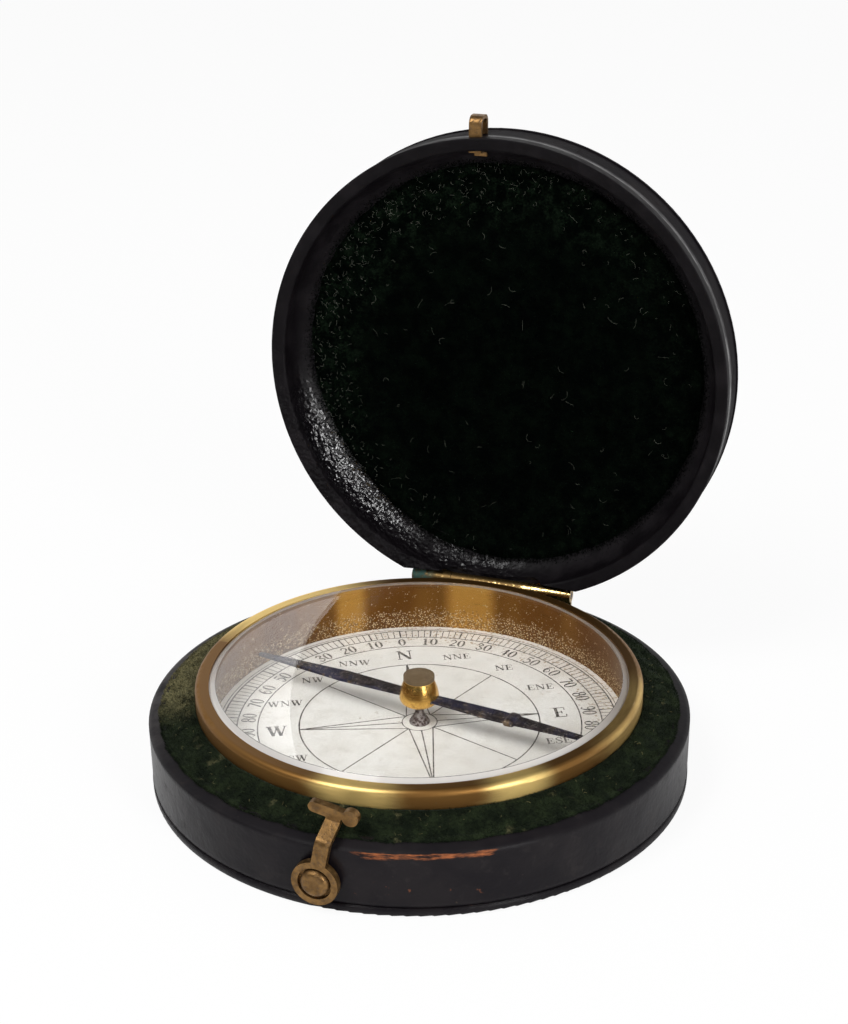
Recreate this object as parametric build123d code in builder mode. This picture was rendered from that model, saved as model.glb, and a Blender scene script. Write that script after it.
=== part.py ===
"""Pocket compass in a round leather-covered case, with its lid standing open.

The origin is the centre of the underside, +Z is up, the hinge is at +Y and the latch hook at -Y.
All lengths are in millimetres and all angles in degrees.
"""
import os
from math import asin, cos, degrees, radians, sin, sqrt, tan

from build123d import *

os.makedirs("parts", exist_ok=True)

# Base of the case: a turned wooden tray covered in leather
case_radius = 29.0
band_height = 7.3
shoulder_angle = 21.3
leather = 0.7
bottom_thickness = 1.0
bottom_overhang = 0.05
floor_thickness = 1.5
pad_thickness = 0.4
pad_inset = 0.3
shoulder_leather_width = 1.7
edge_round = 0.35

# Compass: brass drum, bezel, glass and dial
shoulder_width = 5.8
drum_wall = 0.6
drum_floor = 0.7
dial_plate_thickness = 0.65
dial_card_thickness = 0.2
dial_clearance = 0.1
air_height = 5.95
bezel_wall = 0.7
bezel_lip_width = 0.8
bezel_lip_thickness = 0.25
bezel_round = 0.6
glass_edge = 0.35
glass_height = 0.9
glass_bevel = 0.6
glass_edge_gap = 0.1

# Needle on its pivot
pivot_shank_radius = 0.6
pivot_foot_radius = 1.1
pivot_foot_height = 0.2
pivot_neck_radius = 0.5
pivot_neck_rise = 1.2
pivot_point_rise = 0.9
needle_end_gap = 2.1
needle_thickness = 0.3
needle_rise = 3.1
needle_waist_width = 1.3
needle_leaf_width = 2.0
needle_leaf_distance = 9.5
needle_tip_width = 0.5
needle_ring_radius = 1.5
needle_bearing = -9.5
cap_height = 3.4
cap_drop = 0.75
cap_top_radius = 1.68
cap_neck_radius = 1.55
cap_rim_height = 0.5
cap_bell_radius = 2.15
cap_bell_rise = 0.9
cap_bell_bulge = 0.12
cap_foot_radius = 1.3
cap_bore_radius = 0.85
cap_seat_radius = 1.05
jewel_height = 0.7
jewel_cup_depth = 0.3
rider_offset = 1.7
rider_length = 1.2
rider_wall = 0.3

# Lid of the case: a shallow turned dish covered in leather and lined
lid_setback = 2.35
lid_floor = 0.4
lid_leather = 0.45
lid_top_thickness = 0.8
lid_top_overhang = 0.1
lid_rim_wood = 0.5
cove_leather = 0.4
cove_width = 3.0
lining_depth = 4.2
lining_thickness = 0.6
lid_rim_gap = 0.2
lid_open_angle = 91.0

# Hinge at the back
hinge_inset = 0.95
hinge_height = 1.25
hinge_half_length = 9.8
hinge_middle_half_length = 4.95
knuckle_radius = 0.8
knuckle_gap = 0.1
hinge_pin_radius = 0.4
leaf_thickness = 0.35
base_leaf_depth = 5.2
leaf_top_gap = 0.5
rivet_radius = 0.4
base_rivet_length = 2.2
rivet_end_distance = 3.3
base_rivet_drop = 3.5
lid_rivet_length = 0.9
hinge_clearance = 0.25
notch_end = 0.8

# Staple on the lid and hook on the base
staple_x = -2.3
staple_height = 1.95
staple_width = 1.4
staple_strip = 0.4
staple_hole = 1.6
staple_reach = 1.8
staple_bend = 0.7
staple_tail = 0.35
stud_height = 3.6
stud_shank_radius = 0.85
stud_depth = 3.2
stud_head_radius = 1.5
stud_head_height = 0.75
stud_head_round = 0.65
hook_lean = 11.5
hook_thickness = 0.8
hook_gap = 0.3
hook_eye_radius = 2.4
hook_counterbore_radius = 1.75
hook_counterbore_depth = 0.45
hook_bar_width = 1.5
hook_arm_reach = 2.7
hook_arm_width = 1.15
hook_knob_radius = 0.85
hook_knob_reach = 1.6
hook_edge_clearance = 0.825
hook_crank_length = 1.35
hook_crank_inset = 2.2
hook_arm_lift = 1.0
hook_knob_lift = 0.1
hook_end_length = 0.45
hook_bend = 0.5

# Fits
press_clearance = 0.02
running_clearance = 0.05
seat_clearance = 0.15
face_gap = 0.05


def shoulder(radius):
    """Height of the sloping shoulder round the compass at a radius."""
    return band_height + (case_radius - radius) * tan(radians(shoulder_angle))


def lid_rim(radius):
    """Height of the lid's rim above its outer edge: the rim is cut to the shoulder's slope."""
    return (lid_radius - radius) * tan(radians(shoulder_angle))


# Heights of the stack in the base, from the underside up
core_bottom = bottom_thickness
floor_top = core_bottom + floor_thickness
drum_bottom = floor_top + pad_thickness
drum_floor_top = drum_bottom + drum_floor
plate_top = drum_floor_top + dial_plate_thickness
dial_top = plate_top + dial_card_thickness
glass_bottom = dial_top + air_height
lip_bottom = glass_bottom + glass_edge
bezel_top = lip_bottom + bezel_lip_thickness
glass_top = glass_bottom + glass_height
needle_bottom = dial_top + needle_rise
cap_bottom = needle_bottom - cap_drop
cap_top = cap_bottom + cap_height

# Radii and cover depths in the base
core_radius = case_radius - leather
drum_radius = case_radius - shoulder_width
cover_drop = leather / cos(radians(shoulder_angle))
shoulder_leather_radius = case_radius - shoulder_leather_width
well_radius = drum_radius + seat_clearance
drum_inner_radius = drum_radius - drum_wall
bezel_inner_radius = drum_radius + press_clearance
bezel_radius = bezel_inner_radius + bezel_wall
bezel_opening_radius = bezel_inner_radius - bezel_lip_width
bezel_bottom = shoulder(well_radius) - cover_drop + seat_clearance
collar_radius = bezel_radius + face_gap
dial_radius = drum_inner_radius - dial_clearance
needle_half_length = drum_inner_radius - needle_end_gap
rider_distance = needle_leaf_distance + rider_offset

# Lid in its own frame: the rim's outer edge is at height 0
lid_radius = case_radius - lid_setback
hinge_y = lid_radius - hinge_inset
lid_core_radius = lid_radius - lid_leather
lid_core_rim_radius = lid_core_radius - lid_rim_wood
cove_rim_radius = lid_core_rim_radius - cove_leather
lining_radius = cove_rim_radius - cove_width
lining_back = lining_depth + lining_thickness
lid_band_top = lining_back + lid_floor
lid_depth = lid_band_top + lid_top_thickness
cove_base = lid_rim(cove_rim_radius)
cove_rise = lining_depth - cove_base
notch_half_length = hinge_half_length + notch_end
notch_top = hinge_height + knuckle_radius + hinge_clearance
notch_depth = knuckle_radius + hinge_clearance + seat_clearance
lid_leaf_height = lid_band_top - notch_top - leaf_top_gap
rivet_spacing = hinge_half_length - rivet_end_distance
lid_rivet_angle = degrees(asin(rivet_spacing / lid_core_radius))

# Hinge line, and the lid's plane turned back about it to the open angle
lid_closed_height = shoulder(lid_radius) + lid_rim_gap
hinge_z = lid_closed_height + hinge_height
open_sin = sin(radians(lid_open_angle))
open_cos = cos(radians(lid_open_angle))
lid_plane = Plane(
    origin=(
        0,
        hinge_y - hinge_y * open_cos - hinge_height * open_sin,
        hinge_z + hinge_y * open_sin - hinge_height * open_cos,
    ),
    x_dir=(1, 0, 0),
    z_dir=(0, open_sin, open_cos),
)
lid_section = Plane(origin=lid_plane.origin, x_dir=lid_plane.x_dir, z_dir=-lid_plane.y_dir)
lid_side = Plane(origin=lid_plane.origin, x_dir=lid_plane.y_dir, z_dir=lid_plane.x_dir)
lid_axis = Axis(lid_plane.origin, lid_plane.z_dir)
base_section = Plane.XZ

# Hook plane on the front wall: local x across the hook, local y along its bar, z outwards
hook_plane = Plane(
    origin=(0, -case_radius, stud_height),
    x_dir=(cos(radians(hook_lean)), 0, -sin(radians(hook_lean))),
    z_dir=(0, -1, 0),
)
hook_edge = Plane(origin=hook_plane.origin, x_dir=hook_plane.y_dir, z_dir=hook_plane.x_dir)
hook_face = hook_gap + hook_thickness

# Distances along the bar from the stud: over the band's edge, in along the crank, and up to the arm
hook_crank_start = (band_height - stud_height) / cos(radians(hook_lean)) + hook_edge_clearance
hook_crank_end = hook_crank_start + hook_crank_length
hook_arm_height = hook_crank_end + hook_arm_lift
hook_knob_height = hook_arm_height + hook_knob_lift
hook_length = hook_arm_height + hook_end_length
stud_seat = hook_face - hook_counterbore_depth + face_gap
through = 4 * case_radius


def finish(node, name):
    """Label a finished piece and write its file."""
    node.part.label = name
    export_step(node.part, f"parts/{name}.step")


# Room for the hinge in the base's velvet: above the knuckles' lowest line, and behind the leaf
leaf_back = hinge_y + leaf_thickness / 2 + face_gap
with BuildPart() as base_notch:
    with BuildSketch(Plane.XY.offset(hinge_z - knuckle_radius - hinge_clearance)):
        with Locations((0, hinge_y - notch_depth)):
            Rectangle(2 * notch_half_length, case_radius, align=(Align.CENTER, Align.MIN))
    extrude(amount=case_radius)
    with BuildSketch(Plane.XY):
        with Locations((0, hinge_y - leaf_thickness / 2 - face_gap)):
            Rectangle(2 * (hinge_half_length + seat_clearance), case_radius, align=(Align.CENTER, Align.MIN))
    extrude(amount=case_radius)

# Tongue of the side leather that reaches in over the shoulder to the back of the hinge leaf
with BuildPart() as hinge_tongue:
    with BuildSketch(base_section):
        with BuildLine():
            Polyline(
                (leaf_back, shoulder(leaf_back) - cover_drop),
                (shoulder_leather_radius, shoulder(shoulder_leather_radius) - cover_drop),
                (shoulder_leather_radius, shoulder(shoulder_leather_radius)),
                (leaf_back, shoulder(leaf_back)),
                close=True,
            )
        make_face()
    revolve(axis=Axis.Z)
    with BuildSketch(Plane.XY):
        with Locations((0, leaf_back)):
            Rectangle(2 * hinge_half_length, case_radius, align=(Align.CENTER, Align.MIN))
    extrude(amount=case_radius, mode=Mode.INTERSECT)

# Room for the hinge knuckles in the lid's rim
with BuildPart() as lid_notch:
    with BuildSketch(lid_plane.offset(-lid_depth)):
        with Locations((0, hinge_y - notch_depth)):
            Rectangle(2 * notch_half_length, case_radius, align=(Align.CENTER, Align.MIN))
    extrude(amount=lid_depth + notch_top)

# Slots through the lid's wall for the two legs of the staple
with BuildPart() as staple_slots:
    for leg in (staple_height - staple_hole / 2 - staple_strip, staple_height + staple_hole / 2):
        with BuildSketch(lid_plane.offset(leg)):
            with Locations((staple_x, 0)):
                Rectangle(
                    staple_width + 2 * press_clearance, 2 * lid_radius, align=(Align.CENTER, Align.MAX)
                )
        extrude(amount=staple_strip)

# Holes through the front wall for the hook's stud: tight in the wood, easy in the leather
with BuildPart() as stud_bore:
    with BuildSketch(hook_plane.offset(-stud_depth)):
        Circle(stud_shank_radius + press_clearance)
    extrude(amount=stud_depth + hook_face)

with BuildPart() as stud_clearance:
    with BuildSketch(hook_plane.offset(-stud_depth)):
        Circle(stud_shank_radius + running_clearance)
    extrude(amount=stud_depth + hook_face)


def base_rivet_planes():
    """Planes at the inner ends of the rivets through the base leaf, facing outwards."""
    height = shoulder(hinge_y) - cover_drop - base_rivet_drop + leaf_thickness
    start = hinge_y - base_rivet_length / 2
    return [
        Plane(origin=(x, start, height), x_dir=(-1, 0, 0), z_dir=(0, 1, 0))
        for x in (-rivet_spacing, 0, rivet_spacing)
    ]


def lid_rivet_planes():
    """Planes at the inner ends of the rivets through the lid leaf, facing outwards."""
    planes = []
    for angle in (-lid_rivet_angle, 0, lid_rivet_angle):
        outward = lid_plane.y_dir * cos(radians(angle)) + lid_plane.x_dir * sin(radians(angle))
        start = lid_core_radius - press_clearance - lid_rivet_length
        origin = lid_plane.origin + outward * start + lid_plane.z_dir * (notch_top + lid_leaf_height / 2)
        planes.append(Plane(origin=origin, x_dir=lid_plane.z_dir, z_dir=outward))
    return planes


# Wooden tray of the base, turned with a well for the compass
with BuildPart() as base_core:
    with BuildSketch(base_section):
        with BuildLine():
            Polyline(
                (0, core_bottom),
                (core_radius, core_bottom),
                (core_radius, shoulder(core_radius) - cover_drop),
                (well_radius, shoulder(well_radius) - cover_drop),
                (well_radius, floor_top),
                (0, floor_top),
                close=True,
            )
        make_face()
    revolve(axis=Axis.Z)
    leaf_bottom = shoulder(hinge_y) - cover_drop - base_leaf_depth + face_gap
    with BuildSketch(Plane.XY.offset(leaf_bottom)):
        with Locations((0, hinge_y)):
            Rectangle(2 * (hinge_half_length + face_gap), leaf_thickness + 2 * press_clearance)
    extrude(amount=case_radius, mode=Mode.SUBTRACT)
    for plane in base_rivet_planes():
        with BuildSketch(plane):
            Circle(rivet_radius + press_clearance)
        extrude(amount=base_rivet_length, mode=Mode.SUBTRACT)
    add(stud_bore.part, mode=Mode.SUBTRACT)
finish(base_core, "base_core")

# Leather band round the side, turned in over the sloping shoulder
with BuildPart() as base_leather_band:
    with BuildSketch(base_section) as band_profile:
        with BuildLine():
            Polyline(
                (core_radius, core_bottom),
                (case_radius, core_bottom),
                (case_radius, band_height),
                (shoulder_leather_radius, shoulder(shoulder_leather_radius)),
                (shoulder_leather_radius, shoulder(shoulder_leather_radius) - cover_drop),
                (core_radius, shoulder(core_radius) - cover_drop),
                close=True,
            )
        make_face()
        fillet(band_profile.vertices().sort_by(Axis.X)[-1:], edge_round)
    revolve(axis=Axis.Z)
    add(hinge_tongue.part)
    with BuildSketch(Plane.XY.offset(core_bottom)):
        with Locations((0, hinge_y)):
            Rectangle(2 * (hinge_half_length + seat_clearance), leaf_thickness + 2 * face_gap)
    extrude(amount=case_radius, mode=Mode.SUBTRACT)
    add(stud_clearance.part, mode=Mode.SUBTRACT)
finish(base_leather_band, "base_leather_band")

# Leather disc glued on underneath, its edge a little proud of the band
with BuildPart() as base_leather_bottom:
    with BuildSketch(Plane.XY):
        Circle(case_radius + bottom_overhang)
    extrude(amount=bottom_thickness)
    fillet(base_leather_bottom.edges().sort_by(Axis.Z)[:1], edge_round)
finish(base_leather_bottom, "base_leather_bottom")

# Velvet collar on the shoulder, from the leather in to the bezel
collar_outer_radius = shoulder_leather_radius - face_gap
with BuildPart() as base_velvet_collar:
    with BuildSketch(base_section):
        with BuildLine():
            Polyline(
                (collar_radius, shoulder(collar_radius) - cover_drop),
                (collar_outer_radius, shoulder(collar_outer_radius) - cover_drop),
                (collar_outer_radius, shoulder(collar_outer_radius)),
                (collar_radius, shoulder(collar_radius)),
                close=True,
            )
        make_face()
    revolve(axis=Axis.Z)
    add(base_notch.part, mode=Mode.SUBTRACT)
finish(base_velvet_collar, "base_velvet_collar")

# Felt pad in the bottom of the well
with BuildPart() as base_felt_pad:
    with BuildSketch(Plane.XY.offset(floor_top)):
        Circle(well_radius - pad_inset)
    extrude(amount=pad_thickness)
finish(base_felt_pad, "base_felt_pad")

# Brass drum of the compass: floor and wall, with a hole for the pivot
with BuildPart() as compass_drum:
    with BuildSketch(base_section):
        with BuildLine():
            Polyline(
                (pivot_shank_radius + press_clearance, drum_bottom),
                (drum_radius, drum_bottom),
                (drum_radius, glass_bottom),
                (drum_inner_radius, glass_bottom),
                (drum_inner_radius, drum_floor_top),
                (pivot_shank_radius + press_clearance, drum_floor_top),
                close=True,
            )
        make_face()
    revolve(axis=Axis.Z)
finish(compass_drum, "compass_drum")

# Plate and printed paper card of the dial
with BuildPart() as dial_plate:
    with BuildSketch(Plane.XY.offset(drum_floor_top)):
        Circle(dial_radius)
        Circle(pivot_shank_radius + press_clearance, mode=Mode.SUBTRACT)
    extrude(amount=dial_plate_thickness)
finish(dial_plate, "dial_plate")

with BuildPart() as dial_card:
    with BuildSketch(Plane.XY.offset(plate_top)):
        Circle(dial_radius)
        Circle(pivot_shank_radius + press_clearance, mode=Mode.SUBTRACT)
    extrude(amount=dial_card_thickness)
finish(dial_card, "dial_card")

# Steel pivot: a shank through the dial, a small foot and a waisted cone that ends in a point
jewel_top = cap_top - cap_rim_height
pivot_tip = jewel_top - jewel_height + jewel_cup_depth - press_clearance
with BuildPart() as pivot_post:
    with BuildSketch(base_section):
        with BuildLine():
            Polyline(
                (0, drum_bottom),
                (pivot_shank_radius, drum_bottom),
                (pivot_shank_radius, dial_top),
                (pivot_foot_radius, dial_top),
                (pivot_foot_radius, dial_top + pivot_foot_height),
                (pivot_neck_radius, dial_top + pivot_neck_rise),
                (pivot_neck_radius, pivot_tip - pivot_point_rise),
                (0, pivot_tip),
                close=True,
            )
        make_face()
    revolve(axis=Axis.Z)
finish(pivot_post, "pivot_post")

# Bevelled glass, resting on the drum's wall
with BuildPart() as glass:
    with BuildSketch(base_section):
        glass_inner = bezel_opening_radius - glass_edge_gap
        with BuildLine():
            Polyline(
                (0, glass_bottom),
                (drum_radius - glass_edge_gap, glass_bottom),
                (drum_radius - glass_edge_gap, lip_bottom),
                (glass_inner, lip_bottom),
                (glass_inner - glass_bevel, glass_top),
                (0, glass_top),
                close=True,
            )
        make_face()
    revolve(axis=Axis.Z)
finish(glass, "glass")

# Brass bezel pressed over the drum, its lip holding the glass down
with BuildPart() as bezel:
    with BuildSketch(base_section) as bezel_profile:
        with BuildLine():
            Polyline(
                (bezel_inner_radius, bezel_bottom),
                (bezel_radius, bezel_bottom),
                (bezel_radius, bezel_top),
                (bezel_opening_radius, bezel_top),
                (bezel_opening_radius, lip_bottom),
                (bezel_inner_radius, lip_bottom),
                close=True,
            )
        make_face()
        fillet(bezel_profile.vertices().group_by(Axis.Y)[-1].sort_by(Axis.X)[-1:], bezel_round)
    revolve(axis=Axis.Z)
finish(bezel, "bezel")

# Needle: two slim leaves of blued steel about a ring that the cap holds
needle_plane = Plane(
    origin=(0, 0, needle_bottom),
    x_dir=(cos(radians(needle_bearing)), sin(radians(needle_bearing)), 0),
    z_dir=(0, 0, 1),
)
with BuildPart() as needle_blade:
    with BuildSketch(needle_plane):
        with BuildLine():
            Polyline(
                (needle_half_length, needle_tip_width / 2),
                (needle_leaf_distance, needle_leaf_width / 2),
                (0, needle_waist_width / 2),
                (-needle_leaf_distance, needle_leaf_width / 2),
                (-needle_half_length, needle_tip_width / 2),
                (-needle_half_length, -needle_tip_width / 2),
                (-needle_leaf_distance, -needle_leaf_width / 2),
                (0, -needle_waist_width / 2),
                (needle_leaf_distance, -needle_leaf_width / 2),
                (needle_half_length, -needle_tip_width / 2),
                close=True,
            )
        make_face()
        Circle(needle_ring_radius)
        Circle(cap_seat_radius + press_clearance, mode=Mode.SUBTRACT)
    extrude(amount=needle_thickness)
finish(needle_blade, "needle_blade")

# Brass cap riveted through the needle: a bell with a flat top, bored for the jewel
with BuildPart() as needle_cap:
    bell_height = cap_bottom + cap_bell_rise
    neck_height = cap_top - cap_rim_height
    with BuildSketch(base_section):
        with BuildLine():
            Polyline(
                (cap_foot_radius, cap_bottom),
                (cap_bore_radius, cap_bottom),
                (cap_bore_radius, jewel_top),
                (0, jewel_top),
                (0, cap_top),
                (cap_top_radius, cap_top),
                (cap_top_radius, neck_height + face_gap),
                (cap_neck_radius, neck_height),
            )
            ThreePointArc(
                (cap_neck_radius, neck_height),
                ((cap_neck_radius + cap_bell_radius) / 2 + cap_bell_bulge, (neck_height + bell_height) / 2),
                (cap_bell_radius, bell_height),
            )
            EllipticalCenterArc(
                (cap_foot_radius, bell_height),
                cap_bell_radius - cap_foot_radius,
                cap_bell_rise,
                start_angle=270,
                arc_size=90,
            )
        make_face()
    revolve(axis=Axis.Z)
    with BuildSketch(Plane.XY.offset(needle_bottom - press_clearance)):
        Circle(needle_ring_radius + press_clearance)
        Circle(cap_seat_radius, mode=Mode.SUBTRACT)
    extrude(amount=needle_thickness + 2 * press_clearance, mode=Mode.SUBTRACT)
    with BuildSketch(needle_plane.offset(-press_clearance)):
        Rectangle(2 * needle_half_length, needle_leaf_width)
        Circle(cap_seat_radius, mode=Mode.SUBTRACT)
    extrude(amount=needle_thickness + 2 * press_clearance, mode=Mode.SUBTRACT)
finish(needle_cap, "needle_cap")

# Agate jewel in the cap's bore, dished to run on the pivot's point
with BuildPart() as cap_jewel:
    with BuildSketch(base_section):
        with BuildLine():
            Polyline(
                (0, jewel_top - jewel_height + jewel_cup_depth),
                (jewel_cup_depth, jewel_top - jewel_height),
                (cap_bore_radius - press_clearance, jewel_top - jewel_height),
                (cap_bore_radius - press_clearance, jewel_top),
                (0, jewel_top),
                close=True,
            )
        make_face()
    revolve(axis=Axis.Z)
finish(cap_jewel, "cap_jewel")

# Balance rider: a small clip slid along one arm of the needle
with BuildPart() as needle_rider:
    taper = (rider_distance - needle_leaf_distance) / (needle_half_length - needle_leaf_distance)
    rider_width = needle_leaf_width - taper * (needle_leaf_width - needle_tip_width)
    rider_plane = needle_plane.offset(-rider_wall)
    with BuildSketch(rider_plane):
        with Locations((rider_distance, 0)):
            Rectangle(rider_length, rider_width + 4 * rider_wall)
    extrude(amount=needle_thickness + 2 * rider_wall)
    with BuildSketch(needle_plane.offset(-press_clearance)):
        with Locations((rider_distance, 0)):
            Rectangle(rider_length, rider_width + 2 * rider_wall)
    extrude(amount=needle_thickness + 2 * press_clearance, mode=Mode.SUBTRACT)
finish(needle_rider, "needle_rider")

# Wooden dish of the lid, coved inside, with a rebate for the hinge leaf
with BuildPart() as lid_core:
    with BuildSketch(lid_section):
        with BuildLine():
            Polyline(
                (lid_core_rim_radius, cove_base),
                (lid_core_rim_radius, lid_rim(lid_core_rim_radius)),
                (lid_core_radius, lid_rim(lid_core_radius)),
                (lid_core_radius, lid_band_top),
                (0, lid_band_top),
                (0, lining_back),
                (lining_radius, lining_back),
                (lining_radius, lining_depth + cove_leather),
            )
            EllipticalCenterArc(
                (lining_radius, cove_base),
                cove_width + cove_leather,
                cove_rise + cove_leather,
                start_angle=0,
                arc_size=90,
            )
        make_face()
    revolve(axis=lid_axis)
    add(lid_notch.part, mode=Mode.SUBTRACT)
    with BuildSketch(lid_plane.offset(notch_top)):
        with Locations((0, lid_radius)):
            Rectangle(2 * (hinge_half_length + face_gap), lid_radius)
        Circle(lid_core_radius - leaf_thickness - 2 * press_clearance, mode=Mode.SUBTRACT)
    extrude(amount=lid_leaf_height + face_gap, mode=Mode.SUBTRACT)
    for plane in lid_rivet_planes():
        with BuildSketch(plane):
            Circle(rivet_radius + press_clearance)
        extrude(amount=lid_rivet_length, mode=Mode.SUBTRACT)
    add(staple_slots.part, mode=Mode.SUBTRACT)
finish(lid_core, "lid_core")

# Leather band round the lid's side
with BuildPart() as lid_leather_band:
    with BuildSketch(lid_section):
        with BuildLine():
            Polyline(
                (lid_core_radius, lid_rim(lid_core_radius)),
                (lid_radius, 0),
                (lid_radius, lid_band_top),
                (lid_core_radius, lid_band_top),
                close=True,
            )
        make_face()
    revolve(axis=lid_axis)
    add(lid_notch.part, mode=Mode.SUBTRACT)
    add(staple_slots.part, mode=Mode.SUBTRACT)
finish(lid_leather_band, "lid_leather_band")

# Leather disc on the lid's top
with BuildPart() as lid_leather_top:
    with BuildSketch(lid_plane.offset(lid_band_top)):
        Circle(lid_radius + lid_top_overhang)
    extrude(amount=lid_top_thickness)
    fillet(lid_leather_top.edges().sort_by(lid_axis)[-1:], edge_round)
finish(lid_leather_top, "lid_leather_top")

# Glossy leather cove inside the lid, from the rim to the lining
with BuildPart() as lid_cove_leather:
    with BuildSketch(lid_section):
        with BuildLine():
            EllipticalCenterArc(
                (lining_radius, cove_base), cove_width, cove_rise, start_angle=0, arc_size=90
            )
            Line((lining_radius, lining_depth), (lining_radius, lining_depth + cove_leather))
            EllipticalCenterArc(
                (lining_radius, cove_base),
                cove_width + cove_leather,
                cove_rise + cove_leather,
                start_angle=0,
                arc_size=90,
            )
            Polyline(
                (lid_core_rim_radius, cove_base),
                (lid_core_rim_radius, lid_rim(lid_core_rim_radius)),
                (cove_rim_radius, cove_base),
            )
        make_face()
    revolve(axis=lid_axis)
    add(lid_notch.part, mode=Mode.SUBTRACT)
    add(staple_slots.part, mode=Mode.SUBTRACT)
finish(lid_cove_leather, "lid_cove_leather")

# Velvet lining disc in the lid
with BuildPart() as lid_velvet_lining:
    with BuildSketch(lid_plane.offset(lining_depth)):
        Circle(lining_radius - face_gap)
    extrude(amount=lining_thickness)
finish(lid_velvet_lining, "lid_velvet_lining")

# Base half of the hinge: a leaf let into the tray, with the two outer knuckles
knuckle_section = Plane(origin=(0, hinge_y, hinge_z), x_dir=(0, 1, 0), z_dir=(1, 0, 0))
outer_start = hinge_middle_half_length + knuckle_gap / 2
outer_length = hinge_half_length - outer_start
with BuildPart() as hinge_base_leaf:
    leaf_foot = leaf_bottom + face_gap
    with BuildSketch(Plane.XY.offset(leaf_foot)):
        with Locations((0, hinge_y)):
            Rectangle(2 * hinge_half_length, leaf_thickness)
    extrude(amount=hinge_z - knuckle_radius - hinge_clearance - leaf_foot)
    for side in (-1, 1):
        with BuildSketch(Plane.XY.offset(leaf_foot)):
            with Locations((side * (outer_start + outer_length / 2), hinge_y)):
                Rectangle(outer_length, leaf_thickness)
        extrude(amount=hinge_z - leaf_foot)
        with BuildSketch(knuckle_section.offset(side * outer_start)):
            Circle(knuckle_radius)
        extrude(amount=side * outer_length)
    with BuildSketch(knuckle_section.offset(-hinge_half_length)):
        Circle(hinge_pin_radius + press_clearance)
    extrude(amount=2 * hinge_half_length, mode=Mode.SUBTRACT)
    for plane in base_rivet_planes():
        with BuildSketch(plane):
            Circle(rivet_radius + press_clearance)
        extrude(amount=base_rivet_length, mode=Mode.SUBTRACT)
finish(hinge_base_leaf, "hinge_base_leaf")

# Lid half of the hinge: a leaf curved round the lid's wall, with the middle knuckle
lid_knuckle_section = Plane(
    origin=lid_plane.from_local_coords((0, hinge_y, hinge_height)), x_dir=lid_plane.y_dir, z_dir=(1, 0, 0)
)
leaf_outer_radius = lid_core_radius - press_clearance
with BuildPart() as hinge_lid_leaf:
    with BuildSketch(lid_plane.offset(notch_top)):
        Circle(leaf_outer_radius)
        Circle(leaf_outer_radius - leaf_thickness, mode=Mode.SUBTRACT)
        with Locations((0, lid_radius)):
            Rectangle(2 * hinge_half_length, lid_radius, mode=Mode.INTERSECT)
    extrude(amount=lid_leaf_height)
    with BuildSketch(lid_plane.offset(hinge_height)):
        Circle(leaf_outer_radius)
        Circle(leaf_outer_radius - leaf_thickness, mode=Mode.SUBTRACT)
        with Locations((0, lid_radius)):
            Rectangle(2 * hinge_middle_half_length, lid_radius, mode=Mode.INTERSECT)
    extrude(amount=notch_top - hinge_height)
    with BuildSketch(lid_knuckle_section.offset(-hinge_middle_half_length)):
        Circle(knuckle_radius)
    extrude(amount=2 * hinge_middle_half_length)
    with BuildSketch(lid_knuckle_section.offset(-hinge_half_length)):
        Circle(hinge_pin_radius + running_clearance)
    extrude(amount=2 * hinge_half_length, mode=Mode.SUBTRACT)
    for plane in lid_rivet_planes():
        with BuildSketch(plane):
            Circle(rivet_radius + press_clearance)
        extrude(amount=lid_rivet_length, mode=Mode.SUBTRACT)
finish(hinge_lid_leaf, "hinge_lid_leaf")

# Steel pin through the knuckles
with BuildPart() as hinge_pin:
    with BuildSketch(knuckle_section.offset(-hinge_half_length)):
        Circle(hinge_pin_radius)
    extrude(amount=2 * hinge_half_length)
finish(hinge_pin, "hinge_pin")

# Brass rivets that hold the two leaves
with BuildPart() as hinge_base_rivets:
    for plane in base_rivet_planes():
        with BuildSketch(plane):
            Circle(rivet_radius)
        extrude(amount=base_rivet_length)
finish(hinge_base_rivets, "hinge_base_rivets")

with BuildPart() as hinge_lid_rivets:
    for plane in lid_rivet_planes():
        with BuildSketch(plane):
            Circle(rivet_radius)
        extrude(amount=lid_rivet_length)
finish(hinge_lid_rivets, "hinge_lid_rivets")


def cove_radius(height):
    """Radius of the cove's face at a height above the lid's rim."""
    return lining_radius + cove_width * sqrt(1 - ((height - cove_base) / cove_rise) ** 2)


# Brass strip staple on the lid's front, its legs through the wall and its tails inside
leg_low = staple_height - (staple_hole + staple_strip) / 2
leg_high = staple_height + (staple_hole + staple_strip) / 2
staple_outer = sqrt(lid_radius**2 - staple_x**2) + staple_reach + staple_strip / 2
with BuildPart() as lid_staple:
    with BuildSketch(lid_side.offset(staple_x)):
        with BuildLine():
            FilletPolyline(
                (staple_tail - cove_radius(leg_low), leg_low),
                (-staple_outer, leg_low),
                (-staple_outer, leg_high),
                (staple_tail - cove_radius(leg_high), leg_high),
                radius=staple_bend,
            )
        trace(line_width=staple_strip)
    extrude(amount=staple_width / 2, both=True)
finish(lid_staple, "lid_staple")

# Brass stud that the hook turns on, driven into the tray
with BuildPart() as latch_stud:
    with BuildSketch(hook_plane.offset(-stud_depth)):
        Circle(stud_shank_radius)
    extrude(amount=stud_depth + stud_seat)
    with BuildSketch(hook_plane.offset(stud_seat)):
        Circle(stud_head_radius)
    extrude(amount=stud_head_height)
    fillet(latch_stud.edges().sort_by(Axis.Y)[:1], stud_head_round)
finish(latch_stud, "latch_stud")

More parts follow.
